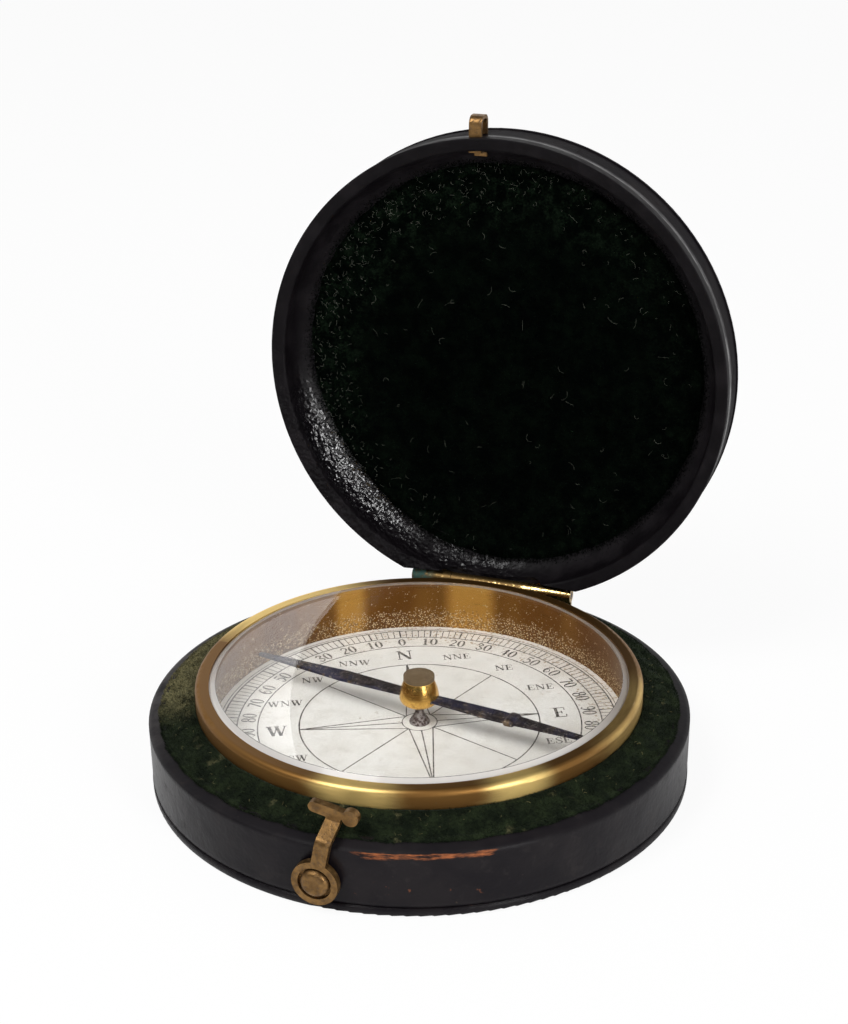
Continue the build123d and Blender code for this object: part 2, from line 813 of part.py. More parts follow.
# Brass hook: an eye on the stud, a bar cranked in over the shoulder, and a head with a catch arm and a knob
with BuildPart() as latch_hook:
    with BuildSketch(hook_plane.offset(-through / 2)):
        Circle(hook_eye_radius)
        Rectangle(hook_bar_width, hook_length, align=(Align.CENTER, Align.MIN))
        with Locations((hook_arm_width / 2, hook_arm_height)):
            SlotOverall(hook_arm_reach + hook_arm_width / 2, hook_arm_width, align=(Align.MAX, Align.CENTER))
        with Locations((hook_knob_reach, hook_knob_height)):
            Circle(hook_knob_radius)
        with Locations((0, hook_knob_height)):
            Rectangle(hook_knob_reach, hook_knob_radius, align=(Align.MIN, Align.CENTER))
    extrude(amount=through)
    with BuildSketch(hook_edge.offset(-through / 2)):
        with BuildLine():
            FilletPolyline(
                (-2 * hook_eye_radius, hook_gap + hook_thickness / 2),
                (hook_crank_start, hook_gap + hook_thickness / 2),
                (hook_crank_end, hook_gap + hook_thickness / 2 - hook_crank_inset),
                (2 * hook_length, hook_gap + hook_thickness / 2 - hook_crank_inset),
                radius=hook_bend,
            )
        trace(line_width=hook_thickness)
    extrude(amount=through, mode=Mode.INTERSECT)
    with BuildSketch(hook_plane):
        Circle(stud_shank_radius + running_clearance)
    extrude(amount=hook_face, mode=Mode.SUBTRACT)
    with BuildSketch(hook_plane.offset(hook_face - hook_counterbore_depth)):
        Circle(hook_counterbore_radius)
    extrude(amount=hook_counterbore_depth, mode=Mode.SUBTRACT)
finish(latch_hook, "latch_hook")
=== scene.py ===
import bmesh
import bpy
import numpy as np
from mathutils import Matrix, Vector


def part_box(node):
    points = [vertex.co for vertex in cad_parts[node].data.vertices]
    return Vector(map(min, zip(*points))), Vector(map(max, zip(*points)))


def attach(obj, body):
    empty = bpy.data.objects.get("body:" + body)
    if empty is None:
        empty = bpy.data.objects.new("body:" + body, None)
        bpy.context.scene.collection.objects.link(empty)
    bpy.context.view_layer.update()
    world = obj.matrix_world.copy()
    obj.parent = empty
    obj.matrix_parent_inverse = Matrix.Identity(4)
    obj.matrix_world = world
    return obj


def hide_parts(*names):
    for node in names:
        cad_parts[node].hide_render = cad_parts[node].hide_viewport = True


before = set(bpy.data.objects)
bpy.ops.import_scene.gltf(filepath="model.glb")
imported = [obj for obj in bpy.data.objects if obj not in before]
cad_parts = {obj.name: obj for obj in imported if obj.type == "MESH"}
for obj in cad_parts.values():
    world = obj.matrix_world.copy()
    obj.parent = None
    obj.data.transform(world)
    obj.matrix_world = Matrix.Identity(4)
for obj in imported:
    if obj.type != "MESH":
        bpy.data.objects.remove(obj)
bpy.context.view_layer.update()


# Tray of the base and dish of the lid: turned from a close-grained wood and then covered all over, so that
# only bores and rebates show it on the base. The dish is stained black, as its rim shows between two skins.
class Value:
    """A socket of a material's nodes. Arithmetic on it adds Math nodes, and node() adds any other kind."""

    def __init__(self, tree, socket=None):
        self.tree = tree
        self.socket = socket

    def node(self, kind, settings, inputs, output=0):
        """A new node: its type, its settings, then the values or links of its inputs by name or number."""
        new = self.tree.nodes.new(kind)
        for name, setting in settings.items():
            setattr(new, name, setting)
        for name, value in inputs.items():
            if isinstance(value, Value):
                self.tree.links.new(value.socket, new.inputs[name])
            else:
                new.inputs[name].default_value = value
        return Value(self.tree, new.outputs[output] if new.outputs else None)

    def maths(self, operation, first, second):
        return self.node("ShaderNodeMath", {"operation": operation}, {0: first, 1: second})

    def __add__(self, other):
        return self.maths("ADD", self, other)

    def __sub__(self, other):
        return self.maths("SUBTRACT", self, other)

    def __rsub__(self, other):
        return self.maths("SUBTRACT", other, self)

    def __mul__(self, other):
        return self.maths("MULTIPLY", self, other)

    def __pow__(self, other):
        return self.maths("POWER", self, other)

    __radd__ = __add__
    __rmul__ = __mul__


def start_finish(name):
    """A new empty material, and its Object coordinates in millimetres, from which its patterns are read."""
    material = bpy.data.materials.new(name)
    material.use_nodes = True
    material.node_tree.nodes.clear()
    metres = Value(material.node_tree).node("ShaderNodeTexCoord", {}, {}, "Object")
    return material, metres.node("ShaderNodeVectorMath", {"operation": "SCALE"}, {0: metres, "Scale": 1000.0})


def end_finish(material, place, sockets, height=None, relief=0.0, round_edge=0.0):
    """Ends a material: a Principled shader with these sockets, a bump of this height times relief in mm,
    and edges that shade as if rounded to a radius in mm."""
    sockets = dict(sockets)
    if height is not None:
        bump = {"Height": height, "Distance": relief * 0.001}
        if round_edge:
            bump["Normal"] = place.node("ShaderNodeBevel", {"samples": 6}, {"Radius": round_edge * 0.001})
        sockets["Normal"] = place.node("ShaderNodeBump", {}, bump)
    shader = place.node("ShaderNodeBsdfPrincipled", {}, sockets)
    place.node("ShaderNodeOutputMaterial", {}, {"Surface": shader})
    return material


def noise(place, scale, detail=2.0, roughness=0.5):
    """Soft noise from 0 to 1, with about this many patches to the millimetre."""
    inputs = {"Vector": place, "Scale": scale, "Detail": detail, "Roughness": roughness}
    return place.node("ShaderNodeTexNoise", {}, inputs, 0)


def fade(value, low, high):
    """0 below low, 1 above high, and a smooth step between. High may be the lower of the two."""
    inputs = {"Value": value, "From Min": low, "From Max": high}
    return value.node("ShaderNodeMapRange", {"interpolation_type": "SMOOTHSTEP"}, inputs)


def tint(mask, first, second):
    """The first colour where the mask is 0 and the second where it is 1."""
    pair = [colour if isinstance(colour, Value) else (*colour, 1.0) for colour in (first, second)]
    settings = {"data_type": "RGBA", "clamp_factor": True}
    return mask.node("ShaderNodeMix", settings, {0: mask, 6: pair[0], 7: pair[1]}, 2)


def stretch(place, x, y, z):
    """The place scaled along each axis, for grain that runs one way."""
    return place.node("ShaderNodeVectorMath", {"operation": "MULTIPLY"}, {0: place, 1: (x, y, z)})


def axis(place, name):
    """One coordinate of a place."""
    return place.node("ShaderNodeSeparateXYZ", {}, {0: place}, name)


def dress(material, *names):
    """Gives CAD nodes this material."""
    for name in names:
        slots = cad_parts[name].data.materials
        slots.clear()
        slots.append(material)


wood, place = start_finish("turned_wood")
rings = noise(stretch(place, 1.0, 0.16, 1.0), 1.1, 3.0, 0.6)
pores = noise(stretch(place, 6.0, 0.6, 6.0), 1.5, 2.0)
wood_colour = tint(fade(rings + pores * 0.25, 0.42, 0.78), (0.42, 0.28, 0.15), (0.25, 0.15, 0.075))
dress(end_finish(wood, place, {"Base Color": wood_colour, "Roughness": 0.72}, pores, 0.03), "base_core")

black_wood, place = start_finish("black_stained_wood")
stain = noise(stretch(place, 2.0, 0.4, 2.0), 1.2, 3.0, 0.6)
stain_colour = tint(stain, (0.004, 0.0034, 0.0042), (0.009, 0.0078, 0.009))
stain_sockets = {"Base Color": stain_colour, "Roughness": 0.5 + stain * 0.16, "Specular IOR Level": 0.2}
dress(end_finish(black_wood, place, stain_sockets, stain, 0.02), "lid_core")


# Pad in the bottom of the well: a disc punched from thin green wool felt. It lies loose under the drum
# and keeps it from rattling.
felt, place = start_finish("wool_felt")
felt_nap = noise(place, 5.0, 5.0, 0.7)
felt_colour = tint(felt_nap, (0.02, 0.045, 0.028), (0.07, 0.12, 0.08))
dress(end_finish(felt, place, {"Base Color": felt_colour, "Roughness": 0.95}, felt_nap, 0.12), "base_felt_pad")


# Drum of the compass: spun from sheet brass and lacquered, gone brown with age.
# Its wall is speckled with tarnish close above the dial, where damp has sat.
dial_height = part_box("dial_card")[1].z * 1000
turn_pitch = 12.0
fresh_brass_and_painted_reflection = (0.5, 0.265, 0.058)
brown_brass = (0.155, 0.065, 0.016)
# Painted reflections: upright bands of lighter brass on the wall, each given as a bearing, a half width and a soft
# edge in degrees.
painted_reflection_bands = ((130.5, 2.0, 4.5), (94.0, 4.0, 5.5))


def polar(place):
    """The place as turned work sees it: radius, then turn_pitch mm to the radian round the axis, then height."""
    x, y = axis(place, "X"), axis(place, "Y")
    radius = (x * x + y * y) ** 0.5
    turn = x.maths("ARCTAN2", y, x)
    inputs = {"X": radius, "Y": turn * turn_pitch, "Z": axis(place, "Z")}
    return place.node("ShaderNodeCombineXYZ", {}, inputs)


def turn_degrees(turned):
    """Degrees round the axis, from a place that polar() gave."""
    return axis(turned, "Y") * np.degrees(1 / turn_pitch)


def near(turn, middle, half, soft):
    """1 within half a width of a bearing in degrees, and down to 0 over a soft edge."""
    gap = turn - middle
    return fade(gap.maths("ABSOLUTE", gap, 0.0), half + soft, half)


def dots(place, scale, size):
    """Round spots, one to a cell, of a size from 0 to 1 of the cell."""
    inputs = {"Vector": place, "Scale": scale}
    return fade(place.node("ShaderNodeTexVoronoi", {}, inputs, "Distance"), size, size * 0.6)


drum_brass, place = start_finish("drum_brass")
turned = polar(place)
lathe = noise(stretch(turned, 9.0, 0.25, 9.0), 1.0, 3.0, 0.6)
cloud = noise(stretch(turned, 0.2, 1.0, 0.2), 0.22, 2.0, 0.5)
speck = noise(place, 3.4, 3.0, 0.65)
damp_and_glint_zone = fade(axis(place, "Z"), dial_height + 3.4, dial_height + 0.4)
spots = fade(speck + damp_and_glint_zone * 0.2, 0.62, 0.74) * fade(damp_and_glint_zone, 0.02, 0.3)
# Painted glints: pale dots that stand in for sparkles of light on the wall, thickest just above the dial.
painted_glints = dots(place, 4.9, 0.42) * fade(noise(place, 1.7, 4.0, 0.65) + damp_and_glint_zone * 0.3, 0.55, 0.68)
# Painted reflection: the wall's colour goes to fresh brass in the bands, and a little with the cloud.
painted_reflection = sum(near(turn_degrees(turned), *band) for band in painted_reflection_bands)
drum_colour = tint(painted_reflection * 0.9 + fade(cloud, 0.6, 0.4) * 0.16, brown_brass, fresh_brass_and_painted_reflection)
drum_colour = tint(spots * 0.5, drum_colour, (0.13, 0.066, 0.024))
drum_colour = tint(painted_glints * 0.75, drum_colour, (0.78, 0.62, 0.37))
drum_sockets = {
    "Base Color": drum_colour,
    "Metallic": 1.0 - spots * 0.5 - painted_glints * 0.4,
    "Roughness": 0.24 + lathe * 0.1 + spots * 0.3 + damp_and_glint_zone * 0.14,
}
dress(end_finish(drum_brass, place, drum_sockets, lathe + spots * 0.8, 0.006), "compass_drum")


# Dial: a card printed from an engraved plate, pasted on a zinc disc. The paper has yellowed a little,
# with brown foxing. The card is turned so that its north lies about 26 degrees to the left of the hinge.
zinc, place = start_finish("dial_zinc")
zinc_bloom = noise(place, 0.8, 4.0, 0.6)
zinc_colour = tint(zinc_bloom, (0.32, 0.33, 0.34), (0.48, 0.48, 0.47))
dress(end_finish(zinc, place, {"Base Color": zinc_colour, "Metallic": 0.9, "Roughness": 0.55}), "dial_plate")

paper, place = start_finish("dial_paper")
fibre = noise(stretch(place, 1.0, 2.4, 1.0), 3.2, 4.0, 0.65)
yellowing = fade(noise(place, 0.11, 2.0), 0.4, 0.7)
foxing = fade(noise(place, 0.75, 4.0, 0.62), 0.66, 0.78)
freckle = fade(noise(place, 2.6, 2.0), 0.71, 0.76)
grubby = fade(noise(place, 0.42, 5.0, 0.7), 0.45, 0.72)
paper_colour = tint(yellowing, (0.79, 0.765, 0.73), (0.73, 0.695, 0.65))
paper_colour = tint(grubby * 0.36, paper_colour, (0.56, 0.52, 0.47))
paper_colour = tint(fade(noise(place, 5.0, 3.0, 0.6), 0.4, 0.7) * 0.14, paper_colour, (0.44, 0.39, 0.33))
paper_colour = tint(foxing * 0.35, paper_colour, (0.52, 0.42, 0.29))
paper_colour = tint(freckle * 0.4, paper_colour, (0.33, 0.24, 0.16))
from_middle = polar(place)
damp_edge = fade(axis(from_middle, "X"), 15.5, 21.5) * near(turn_degrees(from_middle), 62.0, 48.0, 40.0)
stipple = dots(place, 2.2, 0.42) * fade(noise(place, 0.7, 3.0, 0.6) + damp_edge * 0.3, 0.62, 0.78)
paper_colour = tint(stipple * 0.75, paper_colour, (0.36, 0.26, 0.16))
paper_colour = tint(damp_edge * 0.16, paper_colour, (0.5, 0.4, 0.28))
paper_sockets = {"Base Color": paper_colour, "Roughness": 0.62 + fibre * 0.2}
dress(end_finish(paper, place, paper_sockets, fibre, 0.012), "dial_card")

north_turn = 116.0
dial_edge = 22.5
ink_lift = 0.012
tick_outer, tick_inner = 0.955 * dial_edge, 0.88 * dial_edge
number_inner, letter_inner = 0.78 * dial_edge, 0.58 * dial_edge
rose_radius = 1.9
hairline, bold_line = 0.1, 0.18
thin, thick = 0.068, 0.175


def curve(points, steps=7):
    """Points on a smooth line through the given ones: a Catmull-Rom cubic between each two neighbours."""
    points = np.asarray(points, float)
    ends = np.vstack([2 * points[0] - points[1], points, 2 * points[-1] - points[-2]])
    a, b, c, d = (part[:, None, :] for part in (ends[:-3], ends[1:-2], ends[2:-1], ends[3:]))
    t = np.linspace(0.0, 1.0, steps, endpoint=False)[None, :, None]
    cubic = b + (c - a) * t / 2 + (2 * a - 5 * b + 4 * c - d) * t**2 / 2 + (3 * (b - c) + d - a) * t**3 / 2
    return np.vstack([cubic.reshape(-1, 2), points[-1:]])


def oval(middle, across, up):
    """Points round an ellipse, from its right-hand side, and a pen width that swells at its sides."""
    t = np.linspace(0.0, 2 * np.pi, 33)
    points = np.stack([middle[0] + across * np.cos(t), middle[1] + up * np.sin(t)], 1)
    return points, thin + (thick - thin) * np.abs(np.cos(t)) ** 1.5


def ribbon(path, width):
    """A flat strip along a path: each point goes half the pen's width to either side of it."""
    path = np.asarray(path, float)
    along = np.gradient(path, axis=0)
    along /= np.linalg.norm(along, axis=1, keepdims=True)
    across = np.stack([-along[:, 1], along[:, 0]], 1) * (np.ones(len(path)) * width)[:, None] / 2
    return np.stack([path - across, path + across], 1)


six_line = curve(
    [(0.46, 0.88), (0.3, 1.0), (0.1, 0.72), (0.06, 0.32), (0.25, 0.0), (0.48, 0.28), (0.27, 0.56), (0.1, 0.36)]
)
six_pen = thin + (thick - thin) * np.exp(-(((np.linspace(0, 1, len(six_line)) - 0.4) / 0.18) ** 2))
s_top = [(0.56, 0.76), (0.5, 0.94), (0.3, 1.0), (0.1, 0.84), (0.18, 0.62)]
s_foot = [(0.46, 0.42), (0.56, 0.2), (0.32, 0.0), (0.1, 0.06), (0.04, 0.27)]
s_line = curve(s_top + s_foot)
s_pen = thin + (thick - thin) * np.exp(-(((np.linspace(0, 1, len(s_line)) - 0.5) / 0.2) ** 2))
three_line = curve([(0.06, 0.8), (0.25, 1.0), (0.46, 0.78), (0.22, 0.54), (0.5, 0.28), (0.24, 0.0), (0.04, 0.2)])
two_line = curve([(0.06, 0.74), (0.25, 1.0), (0.49, 0.76), (0.3, 0.4), (0.05, 0.06)])
five_line = curve([(0.12, 0.56), (0.3, 0.62), (0.5, 0.34), (0.26, 0.0), (0.04, 0.14)])
# Each sign is a list of pen strokes in a box one unit high: points, and the pen's width along them
signs = {
    "0": [oval((0.27, 0.5), 0.21, 0.49)],
    "1": [
        ([(0.27, 0.0), (0.27, 1.0)], thick),
        ([(0.27, 1.0), (0.1, 0.82)], thin),
        ([(0.08, 0.02), (0.46, 0.02)], thin),
    ],
    "2": [(two_line, 0.11), ([(0.04, 0.06), (0.52, 0.06)], 0.14)],
    "3": [(three_line, 0.12)],
    "4": [([(0.36, 0.0), (0.36, 1.0)], thick), ([(0.36, 1.0), (0.0, 0.3), (0.54, 0.3)], thin)],
    "5": [(five_line, 0.13), ([(0.12, 0.56), (0.12, 0.97)], thin), ([(0.12, 0.95), (0.47, 0.95)], 0.12)],
    "6": [(six_line, six_pen)],
    "7": [([(0.04, 0.94), (0.5, 0.94)], 0.13), ([(0.5, 0.94), (0.2, 0.0)], 0.15)],
    "8": [oval((0.27, 0.74), 0.17, 0.25), oval((0.27, 0.25), 0.21, 0.25)],
    "9": [((0.54, 1.0) - six_line, six_pen)],
    "N": [
        ([(0.12, 0.0), (0.12, 1.0)], thin),
        ([(0.1, 1.0), (0.72, 0.0)], thick),
        ([(0.72, 0.0), (0.72, 1.0)], thin),
        ([(0.0, 0.03), (0.26, 0.03)], thin),
        ([(-0.02, 0.97), (0.2, 0.97)], thin),
        ([(0.58, 0.97), (0.86, 0.97)], thin),
    ],
    "E": [
        ([(0.16, 0.0), (0.16, 1.0)], thick),
        ([(0.0, 0.97), (0.62, 0.97), (0.62, 0.74)], thin),
        ([(0.0, 0.03), (0.64, 0.03), (0.66, 0.28)], thin),
        ([(0.16, 0.51), (0.44, 0.51)], thin),
        ([(0.44, 0.38), (0.44, 0.64)], thin),
    ],
    "S": [(s_line, s_pen), ([(0.56, 0.66), (0.56, 0.98)], thin), ([(0.04, 0.02), (0.04, 0.36)], thin)],
    "W": [
        ([(0.1, 1.0), (0.34, 0.0)], thick),
        ([(0.34, 0.0), (0.56, 1.0)], thin),
        ([(0.5, 1.0), (0.74, 0.0)], thick),
        ([(0.74, 0.0), (0.98, 1.0)], thin),
        ([(-0.04, 0.97), (0.26, 0.97)], thin),
        ([(0.38, 0.97), (0.66, 0.97)], thin),
        ([(0.86, 0.97), (1.08, 0.97)], thin),
    ],
}
sign_step = {"N": 0.98, "E": 0.82, "S": 0.74, "W": 1.2}


def write(text, size):
    """The strips of a line of signs, centred on (0, 0), in millimetres."""
    steps = [sign_step.get(sign, 0.64) for sign in text]
    starts = np.cumsum([0.0, *steps])
    middle = (starts[-1] - 0.12) / 2
    return [
        (ribbon(path, pen) + (start - middle, -0.5)) * size
        for sign, start in zip(text, starts)
        for path, pen in signs[sign]
    ]


def bearing(degrees):
    """Unit vectors outward and clockwise at a bearing of the card."""
    turn = np.radians(north_turn - degrees)
    return np.array([np.cos(turn), np.sin(turn)]), np.array([np.sin(turn), -np.cos(turn)])


def ring(radius, width, count=361):
    """A closed flat ring, as a strip round the axis."""
    turn = np.linspace(0.0, 2 * np.pi, count)
    rim = np.stack([np.cos(turn), np.sin(turn)], 1)
    return np.stack([rim * (radius + width / 2), rim * (radius - width / 2)], 1)


def ring_ticks(degrees, low, high, width):
    """Radial ticks at these bearings, each a strip of its own, as one array of strips."""
    turn = np.radians(north_turn - np.asarray(degrees, float))
    out = np.stack([np.cos(turn), np.sin(turn)], 1)[:, None, None, :]
    side = np.stack([np.sin(turn), -np.cos(turn)], 1)[:, None, None, :]
    reach = np.array([low, high])[None, :, None, None]
    half = np.array([width, -width])[None, None, :, None] / 2
    return out * reach + side * half


def grid_mesh(name, grids):
    """A mesh of several grids of points in mm: four neighbours of a grid's rows and columns make a face,
    and points that meet at a seam or pole become one."""
    points, faces, first = [], [], 0
    for grid in grids:
        rows, columns = grid.shape[:2]
        index = first + np.arange(rows * columns).reshape(rows, columns)
        corners = (index[:-1, :-1], index[1:, :-1], index[1:, 1:], index[:-1, 1:])
        faces.append(np.stack([corner.ravel() for corner in corners], 1))
        points.append(grid.reshape(-1, 3))
        first += rows * columns
    mesh = bpy.data.meshes.new(name)
    mesh.from_pydata((np.concatenate(points) * 0.001).tolist(), [], np.concatenate(faces).tolist())
    welded = bmesh.new()
    welded.from_mesh(mesh)
    bmesh.ops.remove_doubles(welded, verts=welded.verts, dist=1e-7)
    welded.to_mesh(mesh)
    welded.free()
    mesh.shade_smooth()
    return mesh


def new_piece(name, mesh, material, body):
    """A finished piece: its object at the origin, riding on a body, with its material in its one slot."""
    mesh.materials.append(material)
    piece = bpy.data.objects.new(name, mesh)
    bpy.context.scene.collection.objects.link(piece)
    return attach(piece, body)


number_radius, number_size = 18.65, 1.52
letter_radius, cardinal_size, point_size = 15.45, 2.05, 1.18
strips = [
    ring(tick_outer, bold_line),
    ring(tick_outer + 0.36, hairline),
    ring(tick_inner, hairline * 1.5),
    ring(number_inner, hairline * 1.5),
    ring(letter_inner, hairline * 1.6),
    ring(rose_radius, hairline * 1.2),
]
strips += list(ring_ticks(np.arange(0, 360, 2), tick_inner, tick_outer, hairline))
strips += list(ring_ticks(np.arange(0, 360, 10), tick_inner, tick_outer, hairline * 1.8))
strips += list(ring_ticks((45, 135, 225, 315), rose_radius, letter_inner, hairline * 1.5))
for degrees in range(0, 360, 10):
    count = min(degrees % 180, 180 - degrees % 180)
    for strip in write(str(count), number_size):
        far = number_radius + strip[..., 1]
        turn = np.radians(north_turn - degrees) - strip[..., 0] / number_radius
        strips.append(np.stack([far * np.cos(turn), far * np.sin(turn)], -1))
upright, reading = bearing(0)
points_of_card = "N NNE NE ENE E ESE SE SSE S SSW SW WSW W WNW NW NNW".split()
for step, text in enumerate(points_of_card):
    outward = bearing(step * 22.5)[0]
    size = cardinal_size if len(text) == 1 else point_size
    for strip in write(text, size):
        strips.append(outward * letter_radius + strip[..., :1] * reading + strip[..., 1:] * upright)
for degrees in (0, 90, 180, 270):
    outward, clockwise = bearing(degrees)
    tip = outward * letter_inner
    for side in (-1.3, 0.0, 1.3):
        foot = outward * np.sqrt(rose_radius**2 - side**2) + clockwise * side
        strips.append(ribbon([foot, tip], hairline * 1.5))
flat = [np.concatenate([strip, np.full((*strip.shape[:2], 1), dial_height + ink_lift)], -1) for strip in strips]

ink, place = start_finish("plate_ink")
ink_wear = fade(noise(place, 2.4, 4.0, 0.65), 0.36, 0.66)
ink_colour = tint(ink_wear, (0.05, 0.043, 0.04), (0.28, 0.25, 0.22))
end_finish(ink, place, {"Base Color": ink_colour, "Roughness": 0.6})
new_piece("dial_print", grid_mesh("dial_print", flat), ink, "base")


# Pivot of the needle and pin of the hinge: plain drawn steel, gone brown and freckled. The pivot is ground to
# a point, and its small foot is driven through the dial into the plate.
steel, place = start_finish("pivot_steel")
rust = fade(noise(place, 3.0, 4.0, 0.65), 0.42, 0.62)
steel_colour = tint(rust, (0.3, 0.27, 0.26), (0.075, 0.045, 0.04))
steel_sockets = {"Base Color": steel_colour, "Metallic": 0.85 - rust * 0.5, "Roughness": 0.38 + rust * 0.35}
dress(end_finish(steel, place, steel_sockets, rust, 0.02), "pivot_post", "hinge_pin")


# Needle: two slim leaves cut from thin blued spring steel, the blue mostly gone to purple-brown,
# with a small clip of the same steel slid along one arm to level it.
blued, place = start_finish("blued_steel")
bloom = noise(place, 0.75, 5.0, 0.7)
pitting = fade(noise(place, 2.4, 4.0, 0.7), 0.56, 0.66)
blue_left = fade(noise(place, 0.34, 3.0, 0.6), 0.46, 0.6)
straw_left = fade(noise(stretch(place, 1.0, 1.0, 0.3), 0.62, 4.0, 0.65), 0.54, 0.66)
blued_colour = tint(fade(bloom, 0.38, 0.62), (0.012, 0.009, 0.012), (0.075, 0.058, 0.062))
blued_colour = tint(blue_left * 0.55, blued_colour, (0.028, 0.032, 0.09))
blued_colour = tint(straw_left * 0.75, blued_colour, (0.17, 0.11, 0.05))
blued_colour = tint(pitting * 0.85, blued_colour, (0.3, 0.26, 0.23))
blued_sockets = {"Base Color": blued_colour, "Metallic": 0.6 - pitting * 0.4, "Roughness": 0.36 + pitting * 0.3}
end_finish(blued, place, blued_sockets, bloom + pitting * 0.6, 0.012)
dress(blued, "needle_blade")

needle_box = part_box("needle_blade")
needle_level = (needle_box[0].z + needle_box[1].z) * 500
needle_turn = np.radians(-9.5)
rider_distance, rider_length, rider_half_width, rider_half_height = 11.2, 1.2, 0.93, 0.19
rider_swell, rider_taper, rider_squareness = 0.24, 0.09, 0.62
along, about = np.meshgrid(np.linspace(1.0, -1.0, 17), np.linspace(0.0, 2 * np.pi, 49), indexing="ij")
# The clip is a row of rounded rectangles along the arm, fuller towards the middle by the root of 1 - t to the 4th
fullness = rider_swell * (1 - along**4) ** 0.5
round_side = np.sign(np.cos(about)) * np.abs(np.cos(about)) ** rider_squareness
round_rise = np.sign(np.sin(about)) * np.abs(np.sin(about)) ** rider_squareness
side = (rider_half_width + fullness - rider_taper * along) * round_side
rise = (rider_half_height + fullness) * round_rise
reach = rider_distance + along * rider_length / 2
# A row drawn in to its middle closes each end
side, rise = (np.concatenate([part[:1] * 0.0, part, part[-1:] * 0.0]) for part in (side, rise))
reach = np.concatenate([reach[:1], reach, reach[-1:]])
rider_grid = np.stack(
    [
        reach * np.cos(needle_turn) - side * np.sin(needle_turn),
        reach * np.sin(needle_turn) + side * np.cos(needle_turn),
        needle_level + rise,
    ],
    -1,
)
rider = new_piece("steel_rider", grid_mesh("steel_rider", [rider_grid]), blued, "needle")
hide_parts("needle_rider")


# Cap of the needle: a brass bell, turned and polished, with a flat top that has gone dull.
# An agate cup is set in it from below, and rides on the pivot's point.
cap_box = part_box("needle_cap")
cap_brass, place = start_finish("cap_brass")
cap_turned = noise(stretch(polar(place), 10.0, 0.3, 10.0), 1.0, 2.0)
dull_top = fade(axis(place, "Z"), cap_box[1].z * 1000 - 0.62, cap_box[1].z * 1000 - 0.45)
cap_spot = fade(noise(place, 1.6, 3.0, 0.6), 0.55, 0.72)
cap_colour = tint(cap_spot * 0.5, (0.8, 0.47, 0.12), brown_brass)
dull_colour = tint(noise(place, 1.1, 3.0), (0.03, 0.021, 0.015), (0.11, 0.085, 0.066))
cap_colour = tint(dull_top * 0.9, cap_colour, dull_colour)
cap_sockets = {
    "Base Color": cap_colour,
    "Metallic": 1.0 - dull_top * 0.7,
    "Roughness": 0.22 + cap_turned * 0.08 + dull_top * 0.34,
}
dress(end_finish(cap_brass, place, cap_sockets, cap_turned, 0.004), "needle_cap")

agate, place = start_finish("polished_agate")
bands = noise(stretch(place, 0.6, 0.6, 4.0), 2.0, 3.0)
agate_colour = tint(bands, (0.3, 0.17, 0.1), (0.62, 0.45, 0.33))
dress(end_finish(agate, place, {"Base Color": agate_colour, "Roughness": 0.15}), "cap_jewel")


# Bezel: a turned brass ring pressed over the drum, its lip holding the glass down. It is satin and browned,
# and lighter at a few bearings; at the two in front, this lighter brass is a painted highlight where lamps reflect.
bezel_brass, place = start_finish("bezel_brass")
turned = polar(place)
bezel_lathe = noise(stretch(turned, 12.0, 0.2, 12.0), 1.0, 3.0, 0.6)
smears = noise(stretch(turned, 1.0, 0.35, 1.2), 0.8, 4.0, 0.6)
# Lighter spots: bearing, half width and soft edge in degrees, and strength. The first two are painted highlights.
bright_bearings = (
    (-86.0, 2.0, 15.0, 1.0),
    (-46.0, 1.0, 13.0, 1.0),
    (-2.0, 8.0, 22.0, 0.5),
    (150.0, 10.0, 30.0, 1.0),
)
brightening = sum(near(turn_degrees(turned), *spot[:3]) * spot[3] for spot in bright_bearings)
browning = fade(smears * 0.5 - brightening * 0.75, -0.55, 0.2)
bezel_colour = tint(browning, (0.98, 0.72, 0.27), (0.225, 0.114, 0.033))
bezel_nicks = fade(noise(place, 1.9, 3.0), 0.7, 0.76)
bezel_colour = tint(bezel_nicks * 0.6, bezel_colour, (0.2, 0.12, 0.05))
bezel_sockets = {
    "Base Color": bezel_colour,
    "Metallic": 1.0,
    "Roughness": 0.44 + bezel_lathe * 0.08,
}
dress(end_finish(bezel_brass, place, bezel_sockets, bezel_lathe, 0.005), "bezel")


# Glass: a clear disc, held down by the bezel's lip, with a finely ground bevel whose colour is painted light at the
# front and painted shade towards the back.
# Light from the lamps passes straight through it.
bevel_inner = 21.72
glass, pane = start_finish("bevelled_glass")
bevel = fade(axis(polar(pane), "X"), bevel_inner - 0.02, bevel_inner + 0.06)
clear_sockets = {
    "Base Color": (0.985, 0.99, 0.985, 1.0),
    "Roughness": 0.0,
    "IOR": 1.44,
    "Transmission Weight": 1.0,
}
clear = pane.node("ShaderNodeBsdfPrincipled", {}, clear_sockets)
# Painted light and shade: the ground bevel pale at the front and dark towards the back.
bevel_painted_shading = tint(fade(axis(pane, "Y"), -15.0, 2.0), (0.8, 0.765, 0.73), (0.3, 0.26, 0.225))
ground = pane.node("ShaderNodeBsdfPrincipled", {}, {"Base Color": bevel_painted_shading, "Roughness": 0.4})
solid = pane.node("ShaderNodeMixShader", {}, {0: bevel * 0.65, 1: clear, 2: ground})
lamp_ray = pane.node("ShaderNodeLightPath", {}, {}, "Is Shadow Ray")
open_air = pane.node("ShaderNodeBsdfTransparent", {}, {"Color": (0.95, 0.96, 0.955, 1.0)})
pane_shader = pane.node("ShaderNodeMixShader", {}, {0: lamp_ray, 1: solid, 2: open_air})
pane.node("ShaderNodeOutputMaterial", {}, {"Surface": pane_shader})
dress(glass, "glass")


# Covering of the case: thin black goatskin pasted round the wood, with a fine grain and a low polish.
# It is rubbed through to red-brown on the front edge, and scuffed grey elsewhere. Grey on the base's left and in a
# streak behind the lid's rim is painted sheen.
case_radius = 29.0
rub_turn, rub_half_turn = -69.6, 16.0
rub_low, rub_high = 6.45, 7.35


